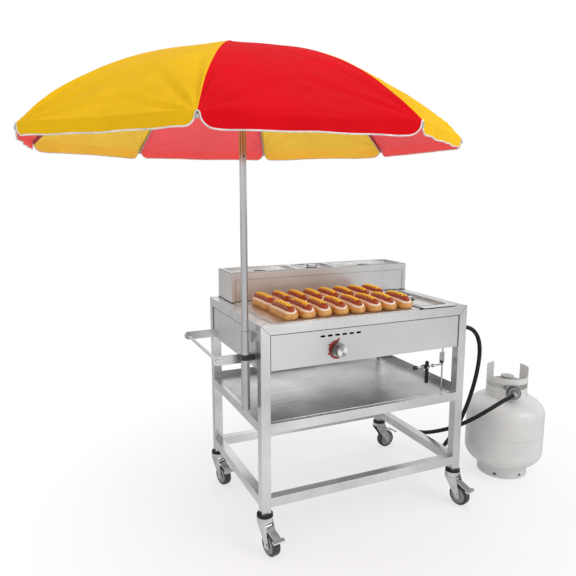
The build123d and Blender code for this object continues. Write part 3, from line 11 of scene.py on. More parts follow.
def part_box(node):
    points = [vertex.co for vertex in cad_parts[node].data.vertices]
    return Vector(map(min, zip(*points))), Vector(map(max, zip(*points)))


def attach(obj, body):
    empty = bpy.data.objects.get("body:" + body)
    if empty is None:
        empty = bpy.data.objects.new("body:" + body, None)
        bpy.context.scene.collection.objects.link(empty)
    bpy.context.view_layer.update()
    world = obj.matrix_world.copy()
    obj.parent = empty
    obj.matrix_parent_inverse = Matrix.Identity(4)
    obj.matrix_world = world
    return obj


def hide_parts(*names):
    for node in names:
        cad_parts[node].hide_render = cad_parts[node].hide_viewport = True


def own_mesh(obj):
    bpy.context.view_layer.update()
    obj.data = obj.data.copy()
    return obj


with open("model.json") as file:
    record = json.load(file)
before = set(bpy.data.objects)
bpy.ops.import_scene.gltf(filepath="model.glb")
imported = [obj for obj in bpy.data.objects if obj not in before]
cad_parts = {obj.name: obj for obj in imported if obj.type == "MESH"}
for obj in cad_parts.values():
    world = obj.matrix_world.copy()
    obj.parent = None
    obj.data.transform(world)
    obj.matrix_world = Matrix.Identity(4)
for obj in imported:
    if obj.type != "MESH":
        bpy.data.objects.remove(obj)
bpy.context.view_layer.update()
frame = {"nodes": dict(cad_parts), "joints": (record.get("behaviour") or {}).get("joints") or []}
NODES = frame["nodes"]
JOINTS = {joint["name"]: joint for joint in frame["joints"]}
MM = 0.001
SIDES = (-1, 1)
UP = (0, 0, 1)
WHITE = (1, 1, 1, 1)


def below(name):
    """The point on the floor under the middle of a CAD node."""
    low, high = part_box(name)
    return Vector(((low.x + high.x) / 2, (low.y + high.y) / 2, 0))


def outward(turn):
    """A level unit vector at an angle from the X axis."""
    return Vector((math.cos(turn), math.sin(turn), 0))


# The cart's own origin: on the floor, under the middle of its four casters' pins
CART = below("swivel_cups")

# Camera: where it stands from the cart's origin, which way it looks, and its focal length in pixels
CAMERA_FROM_CART = Vector((-1.0385, -1.9106, 1.1879))
CAMERA_YAW = 0.418
CAMERA_PITCH = 0.168
FOCAL_PX = 581.8
IMAGE_PX = 576
SENSOR_MM = 36.0

# Sky: its strength for matt surfaces, and for shiny ones from near its horizon to near its zenith
SKY_LIGHT = 0.66
SKY_HORIZON = 1.0
SKY_ZENITH = 0.55
SKY_SPAN = (0.05, 0.8)

# Softboxes: where each stands, how high it aims over the origin, its size and its power
SOFTBOXES = (
    ("key", (2.4, -3.4, 3.4), 0.7, 2.4, 58),
    ("fill", (-3.2, -2.4, 2.4), 0.6, 2.4, 9),
    ("top", (0, -0.4, 4.4), 0.8, 3.0, 24),
    ("back", (0.6, 3.4, 3.0), 0.8, 2.4, 8),
)

# Floor: its own grey, and how much of it is plain white from near the cart to far off
FLOOR_SIZE = 60.0
FLOOR_GREY = 0.95
FLOOR_MIDDLE_X = 0.15
FLOOR_WHITE_NEAR = 0.62
FLOOR_NEAR = 0.50
FLOOR_FAR = 1.30
# The floor as shiny surfaces see it: brightness at a share of a full turn about the cart, from -X by -Y
FLOOR_SHINY = 0.8
FLOOR_ROUND = ((0.0, 0.85), (0.12, 1.0), (0.33, 0.95), (0.42, 0.5), (0.52, 0.36))
FLOOR_ROUND += ((0.64, 0.40), (0.70, 0.55), (0.80, 0.50), (0.90, 0.62), (1.0, 0.85))

# Cart, from its origin: the frame of square tube, the panels' lower edge, and the condiment box
FRAME_X = 0.404
FRAME_Y = 0.274
TUBE = 0.032
DECK_Z = 0.770
PANEL_LOW_Z = 0.621
BOX_X = (-0.3675, 0.4035)
BOX_Y = (0.1145, 0.2735)

# Dark beads, painted shade in the gaps of joints: how far they lie in from a face, how far they lie and end
# from a tube, and their radii
BEAD_SUNK = 0.0016
BEAD_GAP = 0.0012
BEAD_END = 0.0008
PANEL_BEAD_R = 0.0015
BOX_BEAD_OFF = 0.0013
BOX_BEAD_RISE = 0.0016
BOX_BEAD_R = 0.0012
# Thin lines: painted shade in the groove round the box's front panel, and seam lines on the mitres
BOX_GROOVE_Y = 0.1142
BOX_GROOVE_IN = 0.0155
BOX_GROOVE_Z = (0.7735, 0.856)
BOX_GROOVE_R = 0.0007
MITRE_OFF = 0.0001
MITRE_R = 0.0005

# Lids: the height of each one's seat, the width of its rim and its sheet
LID_SEATS = {"lid_left": 0.8812, "lid_middle": 0.8812, "lid_right": 0.8812, "steam_lid": 0.7712}
LID_RIM = 0.0136
LID_SHEET = 0.0012
LID_WELL_R = 0.010
LID_SHADE_LINE_R = 0.0006
CORNER_STEPS = 6
STEAM_FRONT_Y = -0.236
STEAM_DISH_Y = -0.066

# Painted shade: a dark channel behind the vents, and a dark band in the cylinder's foot ring
TROUGH_X = (-0.208, -0.118, -0.028)
TROUGH_Y = (-0.2695, -0.258)
TROUGH_Z = (0.703, 0.727)
TROUGH_WALL = 0.0008
FOOT_SHADE_R = (0.0955, 0.0965)
FOOT_SHADE_Z = (0.003, 0.030)
FOOT_SHADE_STEPS = 72

# Gas hose: control points from the cart's origin, in metres
HOSE_D = 0.016
HOSE_ROUTE = (
    (0.4175, -0.214, 0.674),
    (0.4495, -0.214, 0.674),
    (0.490, -0.213, 0.660),
    (0.519, -0.212, 0.628),
    (0.533, -0.211, 0.582),
    (0.533, -0.210, 0.530),
    (0.525, -0.209, 0.474),
    (0.512, -0.207, 0.418),
    (0.495, -0.205, 0.364),
    (0.475, -0.200, 0.310),
    (0.460, -0.187, 0.256),
    (0.453, -0.160, 0.206),
    (0.457, -0.124, 0.160),
    (0.476, -0.086, 0.118),
    (0.506, -0.044, 0.090),
    (0.530, 0.004, 0.070),
    (0.541, 0.050, 0.061),
    (0.540, 0.092, 0.062),
    (0.524, 0.128, 0.075),
    (0.495, 0.148, 0.096),
    (0.463, 0.148, 0.121),
    (0.434, 0.128, 0.142),
    (0.418, 0.092, 0.154),
    (0.417, 0.048, 0.160),
    (0.418, -0.006, 0.172),
    (0.420, -0.062, 0.193),
    (0.424, -0.120, 0.222),
    (0.436, -0.178, 0.254),
    (0.466, -0.222, 0.287),
    (0.510, -0.243, 0.314),
    (0.554, -0.254, 0.338),
    (0.598, -0.258, 0.357),
    (0.642, -0.254, 0.369),
    (0.6860, -0.2459, 0.3727),
)

# Canopy: its dome and its cloth
RIB_COUNT = 8
RIM_R = 0.651
DOME_H = 0.254
CLOTH = 0.0012
CLOTH_SHARP_DEG = 60
WING_START_R = 0.026
CUT_LENGTH = 0.7
CENTRE_R = 0.040
CENTRE_HOLE_R = 0.008
CENTRE_RISE = 0.002
PIPING_R = 0.0018
# Flaps: less deep than in the CAD; they lean out, less so towards their hem, and wave
CAD_FLAP_H = 0.040
FLAP_H = 0.031
FLAP_CORNER_R = 0.028
FLAP_NOTCH = 0.008
FLAP_LEAN = 0.10
FLAP_CURL = 0.4
FLAP_WAVE = 0.003
FLAP_WAVES = 46
FLAP_WAVE_SHIFT = 2.2
# Creases fan out from the rib tips; each fan has waves per full turn, strength and how far a seed shifts it
CREASE = 0.0040
CREASE_REACH = 0.17
CREASE_START = 0.06
CREASE_HELD = 0.035
CREASE_FANS = ((15, 1.0, 1.0), (27, 0.7, 2.1), (43, 0.4, 1.0))
CREASE_NOISE = 4
CREASE_SLOPE = 1.1
CREASE_FADE = 3
GORE_SEED = 3.7
TIP_SEED = 1.3
# Broad soft swells of the cloth: height, and how fast they change across, down and from gore to gore
SWELL = 0.0022
SWELL_ACROSS = 9
SWELL_DOWN = 6
SWELL_SEED = 7.3
# Meshes of a wing and of the centre
RADIAL_STEPS = 64
RADIAL_CROWD = 1.35
FLAP_STEPS = 7
COLUMN_STEPS = 20
CENTRE_RINGS = 5
CENTRE_STEPS = RIB_COUNT * 6

# Hot dogs: their places on the griddle, and how they differ
DOG_SEED = 11
DOG_ROWS = 2
DOGS_PER_ROW = 8
DOG_PITCH = 0.064
DOG_ROW_PITCH = 0.166
DOG_MARGIN = 0.036
DOG_FRONT_MARGIN = 0.008
DOG_TURN = 2.2
DOG_LEAN = (-7, -3)
DOG_SIZE = (0.96, 1.0)
BUN_LENGTH = 0.158
BUN_W = 0.056
BUN_END_DROP = 0.010
BUN_END_POWER = 4
BUN_LUMP = 0.0011
BUN_LUMPS = 38
BUN_TEAR = 0.0006
BUN_TEARS = 120
BUN_SWELL_Y = 0.3
BUN_SEEDS = 50
SAUSAGE_LENGTH = 0.144
SAUSAGE_R = 0.013
SAUSAGE_RISE = 0.034
SAUSAGE_END_DROP = 0.004
SAUSAGE_BEND = 0.0014
SAUSAGE_TIP = 0.9985
SAUSAGE_BLUNT = 0.02
SAUCE_TURNS = 6.5
SAUCE_SHAKE = 0.0004
SAUCE_RISE = 0.0006
SAUCE_SPAN = 0.97
SAUCE_PHASES = 6
# A bun's rings from its foot to its groove, in mm: how far in from its side, and how high
CRUST_RINGS = ((10.0, 0.0), (4.5, 2.0), (1.6, 7.0), (0.2, 13.0))
CRUST_RINGS += ((0.7, 18.0), (2.4, 23.0), (4.6, 27.4), (7.0, 31.6))
LIP_RINGS = ((8.6, 33.4), (10.4, 33.8), (12.4, 33.0), (13.8, 30.6), (14.3, 27.0), (14.4, 22.0))
LIP_TOP = 34
CRUMB_FROM = 6
# Meshes of a bun, a sausage and a line of sauce
BUN_CAP_STEPS = 14
BUN_SIDE_STEPS = 9
SAUSAGE_STATIONS = 22
SAUSAGE_AROUND = 20
SAUCE_STEPS = 72


# Shader helpers


def new_material(name):
    """A material with its node tree, its shader and its rest coordinates."""
    made = bpy.data.materials.new(name)
    made.use_nodes = True
    tree = made.node_tree
    return made, tree, tree.nodes["Principled BSDF"], place_in(tree)


def feed(tree, socket, value):
    """Links a socket to another one, or sets it to a plain value."""
    if isinstance(value, bpy.types.NodeSocket):
        tree.links.new(value, socket)
    else:
        socket.default_value = value


def node(tree, kind, settings=None, **inputs):
    """A shader node with its settings and the values of its inputs."""
    made = tree.nodes.new(kind)
    for key, value in (settings or {}).items():
        setattr(made, key, value)
    for key, value in inputs.items():
        feed(tree, made.inputs[key], value)
    return made


def grey(level):
    return (level, level, level)


def rgba(color):
    return (*color, 1)


def scaled(color, by):
    return tuple(min(1.0, channel * by) for channel in color)


def place_in(tree):
    """Rest coordinates in metres: every piece's mesh is in the row frame."""
    return node(tree, "ShaderNodeTexCoord").outputs["Object"]


def stretched(tree, place, scale):
    return node(tree, "ShaderNodeMapping", Vector=place, Scale=scale).outputs["Vector"]


def noise_of(tree, place, scale, detail=4.0, rough=0.5, distortion=0.0):
    """Noise from zero to one; scale is in waves per metre, or per unit of a stretched place."""
    settings = {"Scale": scale, "Detail": detail, "Roughness": rough, "Distortion": distortion}
    return node(tree, "ShaderNodeTexNoise", Vector=place, **settings).outputs["Fac"]


def ranged(tree, value, low, high, start=0.3, end=0.7):
    """A value from start to end, stretched from low to high."""
    spans = {"From Min": start, "From Max": end, "To Min": low, "To Max": high}
    return node(tree, "ShaderNodeMapRange", Value=value, **spans).outputs["Result"]


def ramp(tree, value, *stops):
    """A colour ramp with stops given as (place, colour)."""
    made = node(tree, "ShaderNodeValToRGB", Fac=value)
    elements = made.color_ramp.elements
    while len(elements) < len(stops):
        elements.new(0.5)
    for element, (at, color) in zip(elements, stops):
        element.position = at
        element.color = rgba(color)
    return made.outputs["Color"]


def mixed(tree, share, first, second):
    """Two colours mixed by a share."""
    made = node(tree, "ShaderNodeMix", {"data_type": "RGBA"}, Factor=share)
    for name, value in (("A", first), ("B", second)):
        socket = [s for s in made.inputs if s.name == name and s.type == "RGBA"][0]
        feed(tree, socket, rgba(value) if isinstance(value, tuple) else value)
    return [s for s in made.outputs if s.type == "RGBA"][0]


def chosen(tree, share, first, second):
    """The first number, or the second where the share is one."""
    made = node(tree, "ShaderNodeMix", {"data_type": "FLOAT"}, Factor=share)
    for socket, value in zip(made.inputs[2:4], (first, second)):
        feed(tree, socket, value)
    return made.outputs[0]


def math_of(tree, operation, *values, kind="ShaderNodeMath", output="Value"):
    """The result of an operation on numbers, or on vectors where kind says so."""
    made = node(tree, kind, {"operation": operation})
    for socket, value in zip(made.inputs, values):
        feed(tree, socket, value)
    return made.outputs[output]


def vector_of(tree, operation, *values, output="Vector"):
    return math_of(tree, operation, *values, kind="ShaderNodeVectorMath", output=output)


def together(tree, operation, shares):
    """Several numbers joined by one operation."""
    return functools.reduce(functools.partial(math_of, tree, operation), shares)


def bumped(tree, shader, height, distance, strength, edge=0.0):
    """Bump on the shader's normal, over edges that are rounded by a radius."""
    made = node(tree, "ShaderNodeBump", Height=height, Distance=distance, Strength=strength)
    if edge:
        soft = node(tree, "ShaderNodeBevel", {"samples": 4}, Radius=edge)
        tree.links.new(soft.outputs["Normal"], made.inputs["Normal"])
    tree.links.new(made.outputs["Normal"], shader.inputs["Normal"])


def coat(tree, shader, tone, share, low, high):
    """Links a surface's colour, and its roughness, which a share takes from low to high."""
    feed(tree, shader.inputs["Base Color"], tone)
    feed(tree, shader.inputs["Roughness"], ranged(tree, share, low, high))


def part_of(tree, place, axis):
    """One coordinate of a place."""
    return node(tree, "ShaderNodeSeparateXYZ", Vector=place).outputs[axis]


def between(tree, value, low, high):
    """One where a value lies in a span, and zero elsewhere."""
    return math_of(tree, "COMPARE", value, (low + high) / 2, (high - low) / 2)


def in_box(tree, place, low, high):
    """One inside a box, and zero outside it."""
    sides = [between(tree, part_of(tree, place, axis), *span) for axis, *span in zip("XYZ", low, high)]
    return together(tree, "MULTIPLY", sides)


def any_box(tree, place, boxes):
    """One inside any of several boxes."""
    return together(tree, "MAXIMUM", [in_box(tree, place, *box) for box in boxes])


def away_from(tree, place, centre, axis):
    """Distance from an axis through a point."""
    away = vector_of(tree, "SUBTRACT", place, centre)
    across = vector_of(tree, "CROSS_PRODUCT", away, axis)
    return vector_of(tree, "LENGTH", across, output="Value")


def by_radius(tree, place, centre, axis, size, stops):
    """A grey that changes with the distance from an axis; stops are in metres, up to a size."""
    share = math_of(tree, "DIVIDE", away_from(tree, place, centre, axis), size)
    return ramp(tree, share, *[(at / size, grey(level)) for at, level in stops])


def turn_about(tree, place, centre, second):
    """Angle about a point, from the X axis towards a second axis."""
    rise = math_of(tree, "SUBTRACT", part_of(tree, place, second), getattr(centre, second.lower()))
    run = math_of(tree, "SUBTRACT", part_of(tree, place, "X"), centre.x)
    return math_of(tree, "ARCTAN2", rise, run)


# Materials


DARK = grey(0.018)
# Shade in a lid's dish: share of dark by distance from its middle
DISH_DARK = grey(0.06)
DISH_SIZE = 0.040
DISH_SHADE = ((0.0, 0.10), (0.015, 0.25), (0.0215, 0.80), (0.0238, 0.85), (0.0248, 0.0), (0.040, 0.0))


def steel(
    name,
    color,
    grain,
    rough=0.30,
    spread=0.14,
    cloud=6.0,
    contrast=0.12,
    bump=0.25,
    metal=1.0,
    dark_part_and_shade_boxes=(),
    dish=None,
):
    """Brushed steel; grain gives how fast the brush marks change along each axis, per metre."""
    made, tree, shader, place = new_material(name)
    marks = noise_of(tree, stretched(tree, place, grain), 1.0, detail=2.0)
    smudge = noise_of(tree, place, cloud)
    dull = scaled(color, 1 - contrast)
    bright = scaled(color, 1 + contrast / 3)
    tone = ramp(tree, smudge, (0.3, dull), (0.68, bright))
    shader.inputs["Metallic"].default_value = metal
    if dish is not None:
        shade = by_radius(tree, place, dish, UP, DISH_SIZE, DISH_SHADE)
        tone = mixed(tree, shade, tone, DISH_DARK)
    # Dark and not metal inside these boxes: dark parts, and painted shade on the deck plate
    if dark_part_and_shade_boxes:
        dark = any_box(tree, place, dark_part_and_shade_boxes)
        tone = mixed(tree, dark, tone, DARK)
        feed(tree, shader.inputs["Metallic"], math_of(tree, "SUBTRACT", 1.0, dark))
    most = math_of(tree, "MULTIPLY", marks, 0.6)
    both = math_of(tree, "ADD", most, math_of(tree, "MULTIPLY", smudge, 0.4))
    coat(tree, shader, tone, both, rough - spread / 2, rough + spread / 2)
    bumped(tree, shader, marks, distance=0.00012, strength=bump, edge=0.0011)
    return made


def painted(name, color, rough):
    """Sprayed paint with orange peel, faint dirt and duller patches."""
    made, tree, shader, place = new_material(name)
    cloud = noise_of(tree, place, 9.0, detail=5.0, rough=0.6)
    fine = noise_of(tree, place, 420.0, detail=2.0)
    tone = ramp(tree, cloud, (0.25, scaled(color, 0.88)), (0.6, color))
    coat(tree, shader, tone, cloud, rough + 0.12, rough - 0.05)
    bumped(tree, shader, fine, distance=0.00012, strength=0.5, edge=0.0015)
    return made


def plastic(name, color, rough):
    """Moulded plastic or rubber with a fine grain and rubbed patches."""
    made, tree, shader, place = new_material(name)
    cloud = noise_of(tree, place, 30.0)
    fine = noise_of(tree, place, 900.0, detail=2.0)
    tone = ramp(tree, cloud, (0.3, scaled(color, 0.8)), (0.72, scaled(color, 1.25)))
    coat(tree, shader, tone, cloud, rough - 0.08, rough + 0.10)
    bumped(tree, shader, fine, distance=0.00025, strength=0.6, edge=0.001)
    shader.inputs["Specular IOR Level"].default_value = 0.25
    return made


def spun_face(name, color, centre, face_y):
    """A lathe-turned knob: painted highlights, as bright and dark sectors on its face, and darker sides."""
    made, tree, shader, place = new_material(name)
    radius = away_from(tree, place, centre, (0, 1, 0))
    rings = node(tree, "ShaderNodeCombineXYZ", X=math_of(tree, "MULTIPLY", radius, 2600.0))
    marks = noise_of(tree, rings.outputs["Vector"], 1.0, detail=2.0)
    turn = math_of(tree, "MULTIPLY", turn_about(tree, place, centre, "Z"), 2.0)
    highlight_sector = ranged(tree, math_of(tree, "SINE", math_of(tree, "ADD", turn, 0.9)), 0.0, 1.0, -1.0, 1.0)
    levels = ((0.1, 0.45), (0.45, 0.85), (0.9, 1.15))
    face = ramp(tree, highlight_sector, *[(at, scaled(color, level)) for at, level in levels])
    behind = between(tree, part_of(tree, place, "Y"), face_y, face_y + 0.1)
    shader.inputs["Metallic"].default_value = 1.0
    coat(tree, shader, mixed(tree, behind, face, scaled(color, 0.42)), marks, 0.18, 0.32)
    bumped(tree, shader, marks, distance=0.0001, strength=0.3, edge=0.0008)
    return made


def ringed(name, centre, axis, rough, stops):
    """A round moulding whose grey changes with the distance from its axis."""
    made, tree, shader, place = new_material(name)
    tone = by_radius(tree, place, centre, axis, RING_SIZE, stops)
    wear = noise_of(tree, place, 70.0)
    fine = noise_of(tree, place, 800.0, detail=2.0)
    worn = mixed(tree, ranged(tree, wear, 0.0, 0.10), tone, (0.2, 0.195, 0.19))
    coat(tree, shader, worn, wear, rough - 0.08, rough + 0.10)
    bumped(tree, shader, fine, distance=0.0002, strength=0.5, edge=0.001)
    return made


def from_cart(x, y, z):
    return CART + Vector((x, y, z))


def corners(x, y, z):
    """Two corners of a box from its spans along each axis."""
    return [Vector(corner) for corner in zip(x, y, z)]


def dish_middle(name):
    """The middle of a lid's dish, which is not the middle of the steam lid."""
    low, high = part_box(name)
    middle = (low + high) / 2
    if name == "steam_lid":
        middle.y = CART.y + STEAM_DISH_Y
    return middle


# Dark parts of steel nodes: a box round each, with room to spare; and a box of painted shade on the deck
# plate
ROOM = 0.01
DRAIN_LOW, DRAIN_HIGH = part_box("drain_valve")
SOCKET_LOW, SOCKET_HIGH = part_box("pole_socket")
NOZZLE = corners(
    (DRAIN_LOW.x - ROOM, DRAIN_LOW.x + 0.0125),
    (DRAIN_LOW.y - ROOM, DRAIN_HIGH.y + ROOM),
    (0.0, 0.9),
)
GAUGE_KNOB = corners(
    (DRAIN_HIGH.x - 0.024, DRAIN_HIGH.x - 0.004),
    (DRAIN_LOW.y - ROOM, -0.0178),
    (0.545, 0.562),
)
LOWER_BRACKET = corners(
    (SOCKET_LOW.x - ROOM, SOCKET_HIGH.x + ROOM),
    (SOCKET_LOW.y - ROOM, SOCKET_HIGH.y + ROOM),
    (0.6475, 0.6665),
)
# Painted shade: a dark strip on the deck plate, dark and not metal
DECK_SHADE_BOX = [CART + corner for corner in corners((0.20, 0.226), (-0.27, 0.11), (0.7702, 0.776))]

# Round mouldings: grey by distance from the axis, in metres
RING_SIZE = 0.040
WHEEL_STOPS = ((0.0, 0.42), (0.010, 0.40), (0.0115, 0.06), (0.0135, 0.30), (0.0225, 0.26))
WHEEL_STOPS += ((0.0235, 0.05), (0.0245, 0.42), (0.0268, 0.42), (0.0285, 0.04), (0.040, 0.028))
REGULATOR_STOPS = ((0.0, 0.5), (0.008, 0.45), (0.0095, 0.05), (0.0115, 0.16), (0.019, 0.19))
REGULATOR_STOPS += ((0.0205, 0.42), (0.0225, 0.34), (0.024, 0.07), (0.028, 0.06))

# The cylinder's valve, its outlet with the regulator, and the tap's knob
VALVE_AT = Vector(JOINTS["valve_turn"]["pos_m"])
OUTLET_Z = 0.374
OUTLET_AT = Vector((VALVE_AT.x, VALVE_AT.y, OUTLET_Z))
OUTLET_TURN = math.radians(-118.0)
OUTLET_AXIS = outward(OUTLET_TURN)
KNOB_AT = Vector(JOINTS["tap_turn"]["pos_m"])
KNOB_FACE_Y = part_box("knob")[0].y + 0.002

# Brush marks along one axis, or the same along all, and what else the looks below share
ALONG_X = (3.0, 420.0, 420.0)
ALONG_Z = (420.0, 420.0, 3.0)
EVENLY = (260.0, 260.0, 260.0)
PRESSED = {"cloud": 7.0, "contrast": 0.2}
OILED = (0.64, 0.63, 0.62)
BOX_STEEL = (0.71, 0.73, 0.735)
LOOKS = {
    "tube_frame": steel("satin_tube", grey(0.74), EVENLY, 0.28, 0.05, cloud=4.0, contrast=0.25, bump=0.02),
    "body_panels": steel("brushed_panel", grey(0.72), ALONG_X, 0.42, cloud=2.2, contrast=0.16),
    "deck_plate": steel("brushed_deck", grey(0.66), ALONG_X, 0.24, dark_part_and_shade_boxes=[DECK_SHADE_BOX]),
    "shelf_pan": steel("dull_shelf", grey(0.62), ALONG_X, 0.28, 0.18, cloud=4.5, contrast=0.4),
    "griddle_plate": steel("oiled_griddle", OILED, ALONG_X, cloud=12.0, contrast=0.25, metal=0.7),
    "condiment_box": steel("brushed_box", BOX_STEEL, ALONG_X, 0.34, cloud=3.0, contrast=0.22, metal=0.6),
    "pans": steel("pressed_pan", grey(0.68), ALONG_X, 0.24, **PRESSED),
    "pipe": steel("pipe_metal", grey(0.52), EVENLY, cloud=25.0, contrast=0.2, bump=0.1),
    "drain": steel("drain_metal", grey(0.56), EVENLY, 0.24, cloud=25.0, dark_part_and_shade_boxes=[NOZZLE, GAUGE_KNOB]),
    "handle": steel("satin_handle", grey(0.62), ALONG_X, 0.24, contrast=0.3, bump=0.08),
    "socket": steel("socket_metal", grey(0.52), ALONG_Z, 0.26, contrast=0.25, dark_part_and_shade_boxes=[LOWER_BRACKET]),
    "pole": steel("drawn_tube", (0.50, 0.50, 0.51), ALONG_Z, 0.15, 0.08, cloud=4.0, bump=0.1),
    "zinc": steel("zinc_plate", (0.64, 0.65, 0.66), EVENLY, 0.18, 0.10, cloud=30.0, contrast=0.25, bump=0.1),
    "black": plastic("black_plastic", (0.008, 0.008, 0.009), 0.45),
    "bead": plastic("dark_bead", grey(0.05), 0.5),
    "grey": plastic("grey_plastic", (0.46, 0.46, 0.45), 0.42),
    "tank": painted("cylinder_paint", (0.76, 0.76, 0.75), 0.16),
    "red": painted("red_enamel", (0.33, 0.018, 0.011), 0.34),
    "knob": spun_face("spun_knob", grey(0.72), KNOB_AT, KNOB_FACE_Y),
    "regulator": ringed("die_cast", OUTLET_AT, OUTLET_AXIS, 0.36, REGULATOR_STOPS),
}
for lid in LID_SEATS:
    LOOKS[lid] = steel(f"pressed_{lid}", grey(0.70), ALONG_X, 0.24, 0.12, dish=dish_middle(lid), **PRESSED)
for corner in ("front_left", "front_right", "back_left", "back_right"):
    roll = JOINTS[f"roll_{corner}"]
    tyre = ringed(f"wheel_{corner}", roll["pos_m"], roll["axis"], 0.46, WHEEL_STOPS)
    LOOKS[f"caster_wheel_{corner}"] = tyre
# Other CAD nodes, by name or by the start of a name
FINISH = {
    "pans": ("food_pans", "steam_pan"),
    "pipe": ("gas_burner", "tap_spindle", "cylinder_valve"),
    "drain": ("drain_valve",),
    "red": ("knob_scale",),
    "black": ("drain_lever", "caster_plugs", "runner"),
    "handle": ("push_handle",),
    "socket": ("pole_socket",),
    "pole": ("umbrella_pole", "rib", "stretcher"),
    "zinc": ("swivel_cups", "hose_clip", "caster_fork", "brake_pedal"),
    "tank": ("gas_cylinder",),
    "grey": ("valve_handwheel",),
}


def look_of(name):
    """The material of a CAD node."""
    if name in LOOKS:
        return LOOKS[name]
    for look, starts in FINISH.items():
        if name.startswith(starts):
            return LOOKS[look]
    return None


def dress(obj, *materials):
    """Puts materials on an object; an empty list is left, as clearing resets which face has which."""
    if obj.data.materials:
        obj.data.materials.clear()
    for made in materials:
        obj.data.materials.append(made)


for node_name, node_object in NODES.items():
    found = look_of(node_name)
    if found is not None:
        dress(node_object, found)


# Mesh helpers


def linked(name, data):
    """A new object in the scene."""
    obj = bpy.data.objects.new(name, data)
    bpy.context.scene.collection.objects.link(obj)
    return obj


def piece(name, data, body):
    """A new object from data in the row frame, riding on a body."""
    obj = linked(name, data)
    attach(obj, body)
    return obj


def finished(bm, name, sharp=50):
    """A mesh from a bmesh, smooth apart from edges sharper than an angle."""
    bmesh.ops.recalc_face_normals(bm, faces=bm.faces)
    mesh = bpy.data.meshes.new(name)
    bm.to_mesh(mesh)
    bm.free()
    mesh.shade_smooth()
    mesh.set_sharp_from_angle(angle=math.radians(sharp))
    return mesh


def round_curve(name, radius, around):
    """An empty curve with a round section and closed ends."""
    curve = bpy.data.curves.new(name, "CURVE")
    curve.dimensions = "3D"
    curve.bevel_depth = radius
    curve.bevel_resolution = around
    curve.use_fill_caps = True
    return curve


def add_spline(curve, kind, line):
    """A spline through, or along, a line of points."""
    spline = curve.splines.new(kind)
    spline.points.add(len(line) - 1)
    for point, at in zip(spline.points, line):
        point.co = (*at, 1)
    return spline


def tube_mesh(name, lines, radius):
    """A mesh of round tubes along lines of points."""
    curve = round_curve(name, radius, around=3)
    for line in lines:
        add_spline(curve, "POLY", line)
    holder = bpy.data.objects.new(name, curve)
    mesh = bpy.data.meshes.new_from_object(holder)
    bpy.data.objects.remove(holder)
    bpy.data.curves.remove(curve)
    mesh.name = name
    mesh.shade_smooth()
    return mesh


def add_loft(bm, rings, closed=False):
    """Loops of points joined in bands: closed to a ring, or else with a cap at each end."""
    rows = [[bm.verts.new(point) for point in ring] for ring in rings]
    count = len(rows[0])
    bands = []
    for first, second in zip(rows, rows[1:] + rows[:1] if closed else rows[1:]):
        band = []
        for i in range(count):
            j = (i + 1) % count
            band.append(bm.faces.new((first[i], first[j], second[j], second[i])))
        bands.append(band)
    caps = [] if closed else [bm.faces.new(row) for row in (rows[0], rows[-1])]
    return bands, caps


# Gas hose


def gas_hose():
    curve = round_curve("gas_hose_line", HOSE_D / 2, around=5)
    curve.resolution_u = 10
    spline = add_spline(curve, "NURBS", [Vector(at) + CART for at in HOSE_ROUTE])
    spline.order_u = 3
    spline.use_endpoint_u = True
    curve.materials.append(LOOKS["black"])
    hose = piece("hose", curve, "cart")
    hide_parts("gas_hose")


gas_hose()


# Canopy


def woven(name, color, glow=0.0):
    """Coated woven cloth, matt, with soft folds; glow is painted light, an emission that stands in for the
    light that comes through it from above.
    """
    made, tree, shader, place = new_material(name)
    uv = node(tree, "ShaderNodeUVMap", {"uv_map": "cut"}).outputs["UV"]
    cloud = noise_of(tree, place, 5.0, detail=5.0, rough=0.6)
    folds = noise_of(tree, stretched(tree, uv, (30.0, 6.0, 1.0)), 1.0, rough=0.6, distortion=0.6)
    threads = []
    for way in "XY":
        wave = node(tree, "ShaderNodeTexWave", {"bands_direction": way}, Vector=uv, Scale=620.0)
        threads.append(wave.outputs["Fac"])
    weave = math_of(tree, "MULTIPLY", *threads)
    tone = ramp(tree, cloud, (0.28, scaled(color, 0.88)), (0.62, color), (0.8, scaled(color, 1.05)))
    coat(tree, shader, tone, cloud, 0.70, 0.84)
    shader.inputs["Specular IOR Level"].default_value = 0.08
    shader.inputs["Emission Color"].default_value = rgba(color)
    shader.inputs["Emission Strength"].default_value = glow
    height = math_of(tree, "ADD", math_of(tree, "MULTIPLY", weave, 0.06), folds)
    bumped(tree, shader, height, distance=0.004, strength=0.4)
    return made


# Painted light: how strongly the cloth's insides glow
GLOW = 0.13
# Gores alternate, yellow first
TOPS = (
    woven("yellow_cloth", (1.0, 0.58, 0.010)),
    woven("red_cloth", (0.80, 0.003, 0.010)),
)
# The insides are paler than the tops and glow: painted light for the light that comes through the cloth from
# above
INSIDES = (
    woven("yellow_cloth_inside", (1.0, 0.70, 0.09), GLOW),
    woven("red_cloth_inside", (1.0, 0.14, 0.16), GLOW),
)
PIPING = plastic("white_piping", (0.78, 0.78, 0.77), 0.5)

POLE = below("runner")
APEX_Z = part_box("canopy")[0].z + CAD_FLAP_H + DOME_H
HALF_GORE = math.pi / RIB_COUNT
MID_RIM_R = RIM_R * math.cos(HALF_GORE)
HALF_CHORD = RIM_R * math.sin(HALF_GORE)
# How far each column of a half gore is from its rib, at the rim
COLUMNS = [0.0, 0.002, FLAP_NOTCH / 2, 0.006, 0.009, 0.013, 0.018, 0.024, FLAP_NOTCH / 2 + FLAP_CORNER_R]
COLUMNS += [COLUMNS[-1] + (HALF_CHORD - COLUMNS[-1]) * (i + 1) / COLUMN_STEPS for i in range(COLUMN_STEPS)]


def rib_angle(index):
    axis = JOINTS[f"rib_{index + 1}_fold"]["axis"]
    return math.atan2(-axis[0], axis[1])


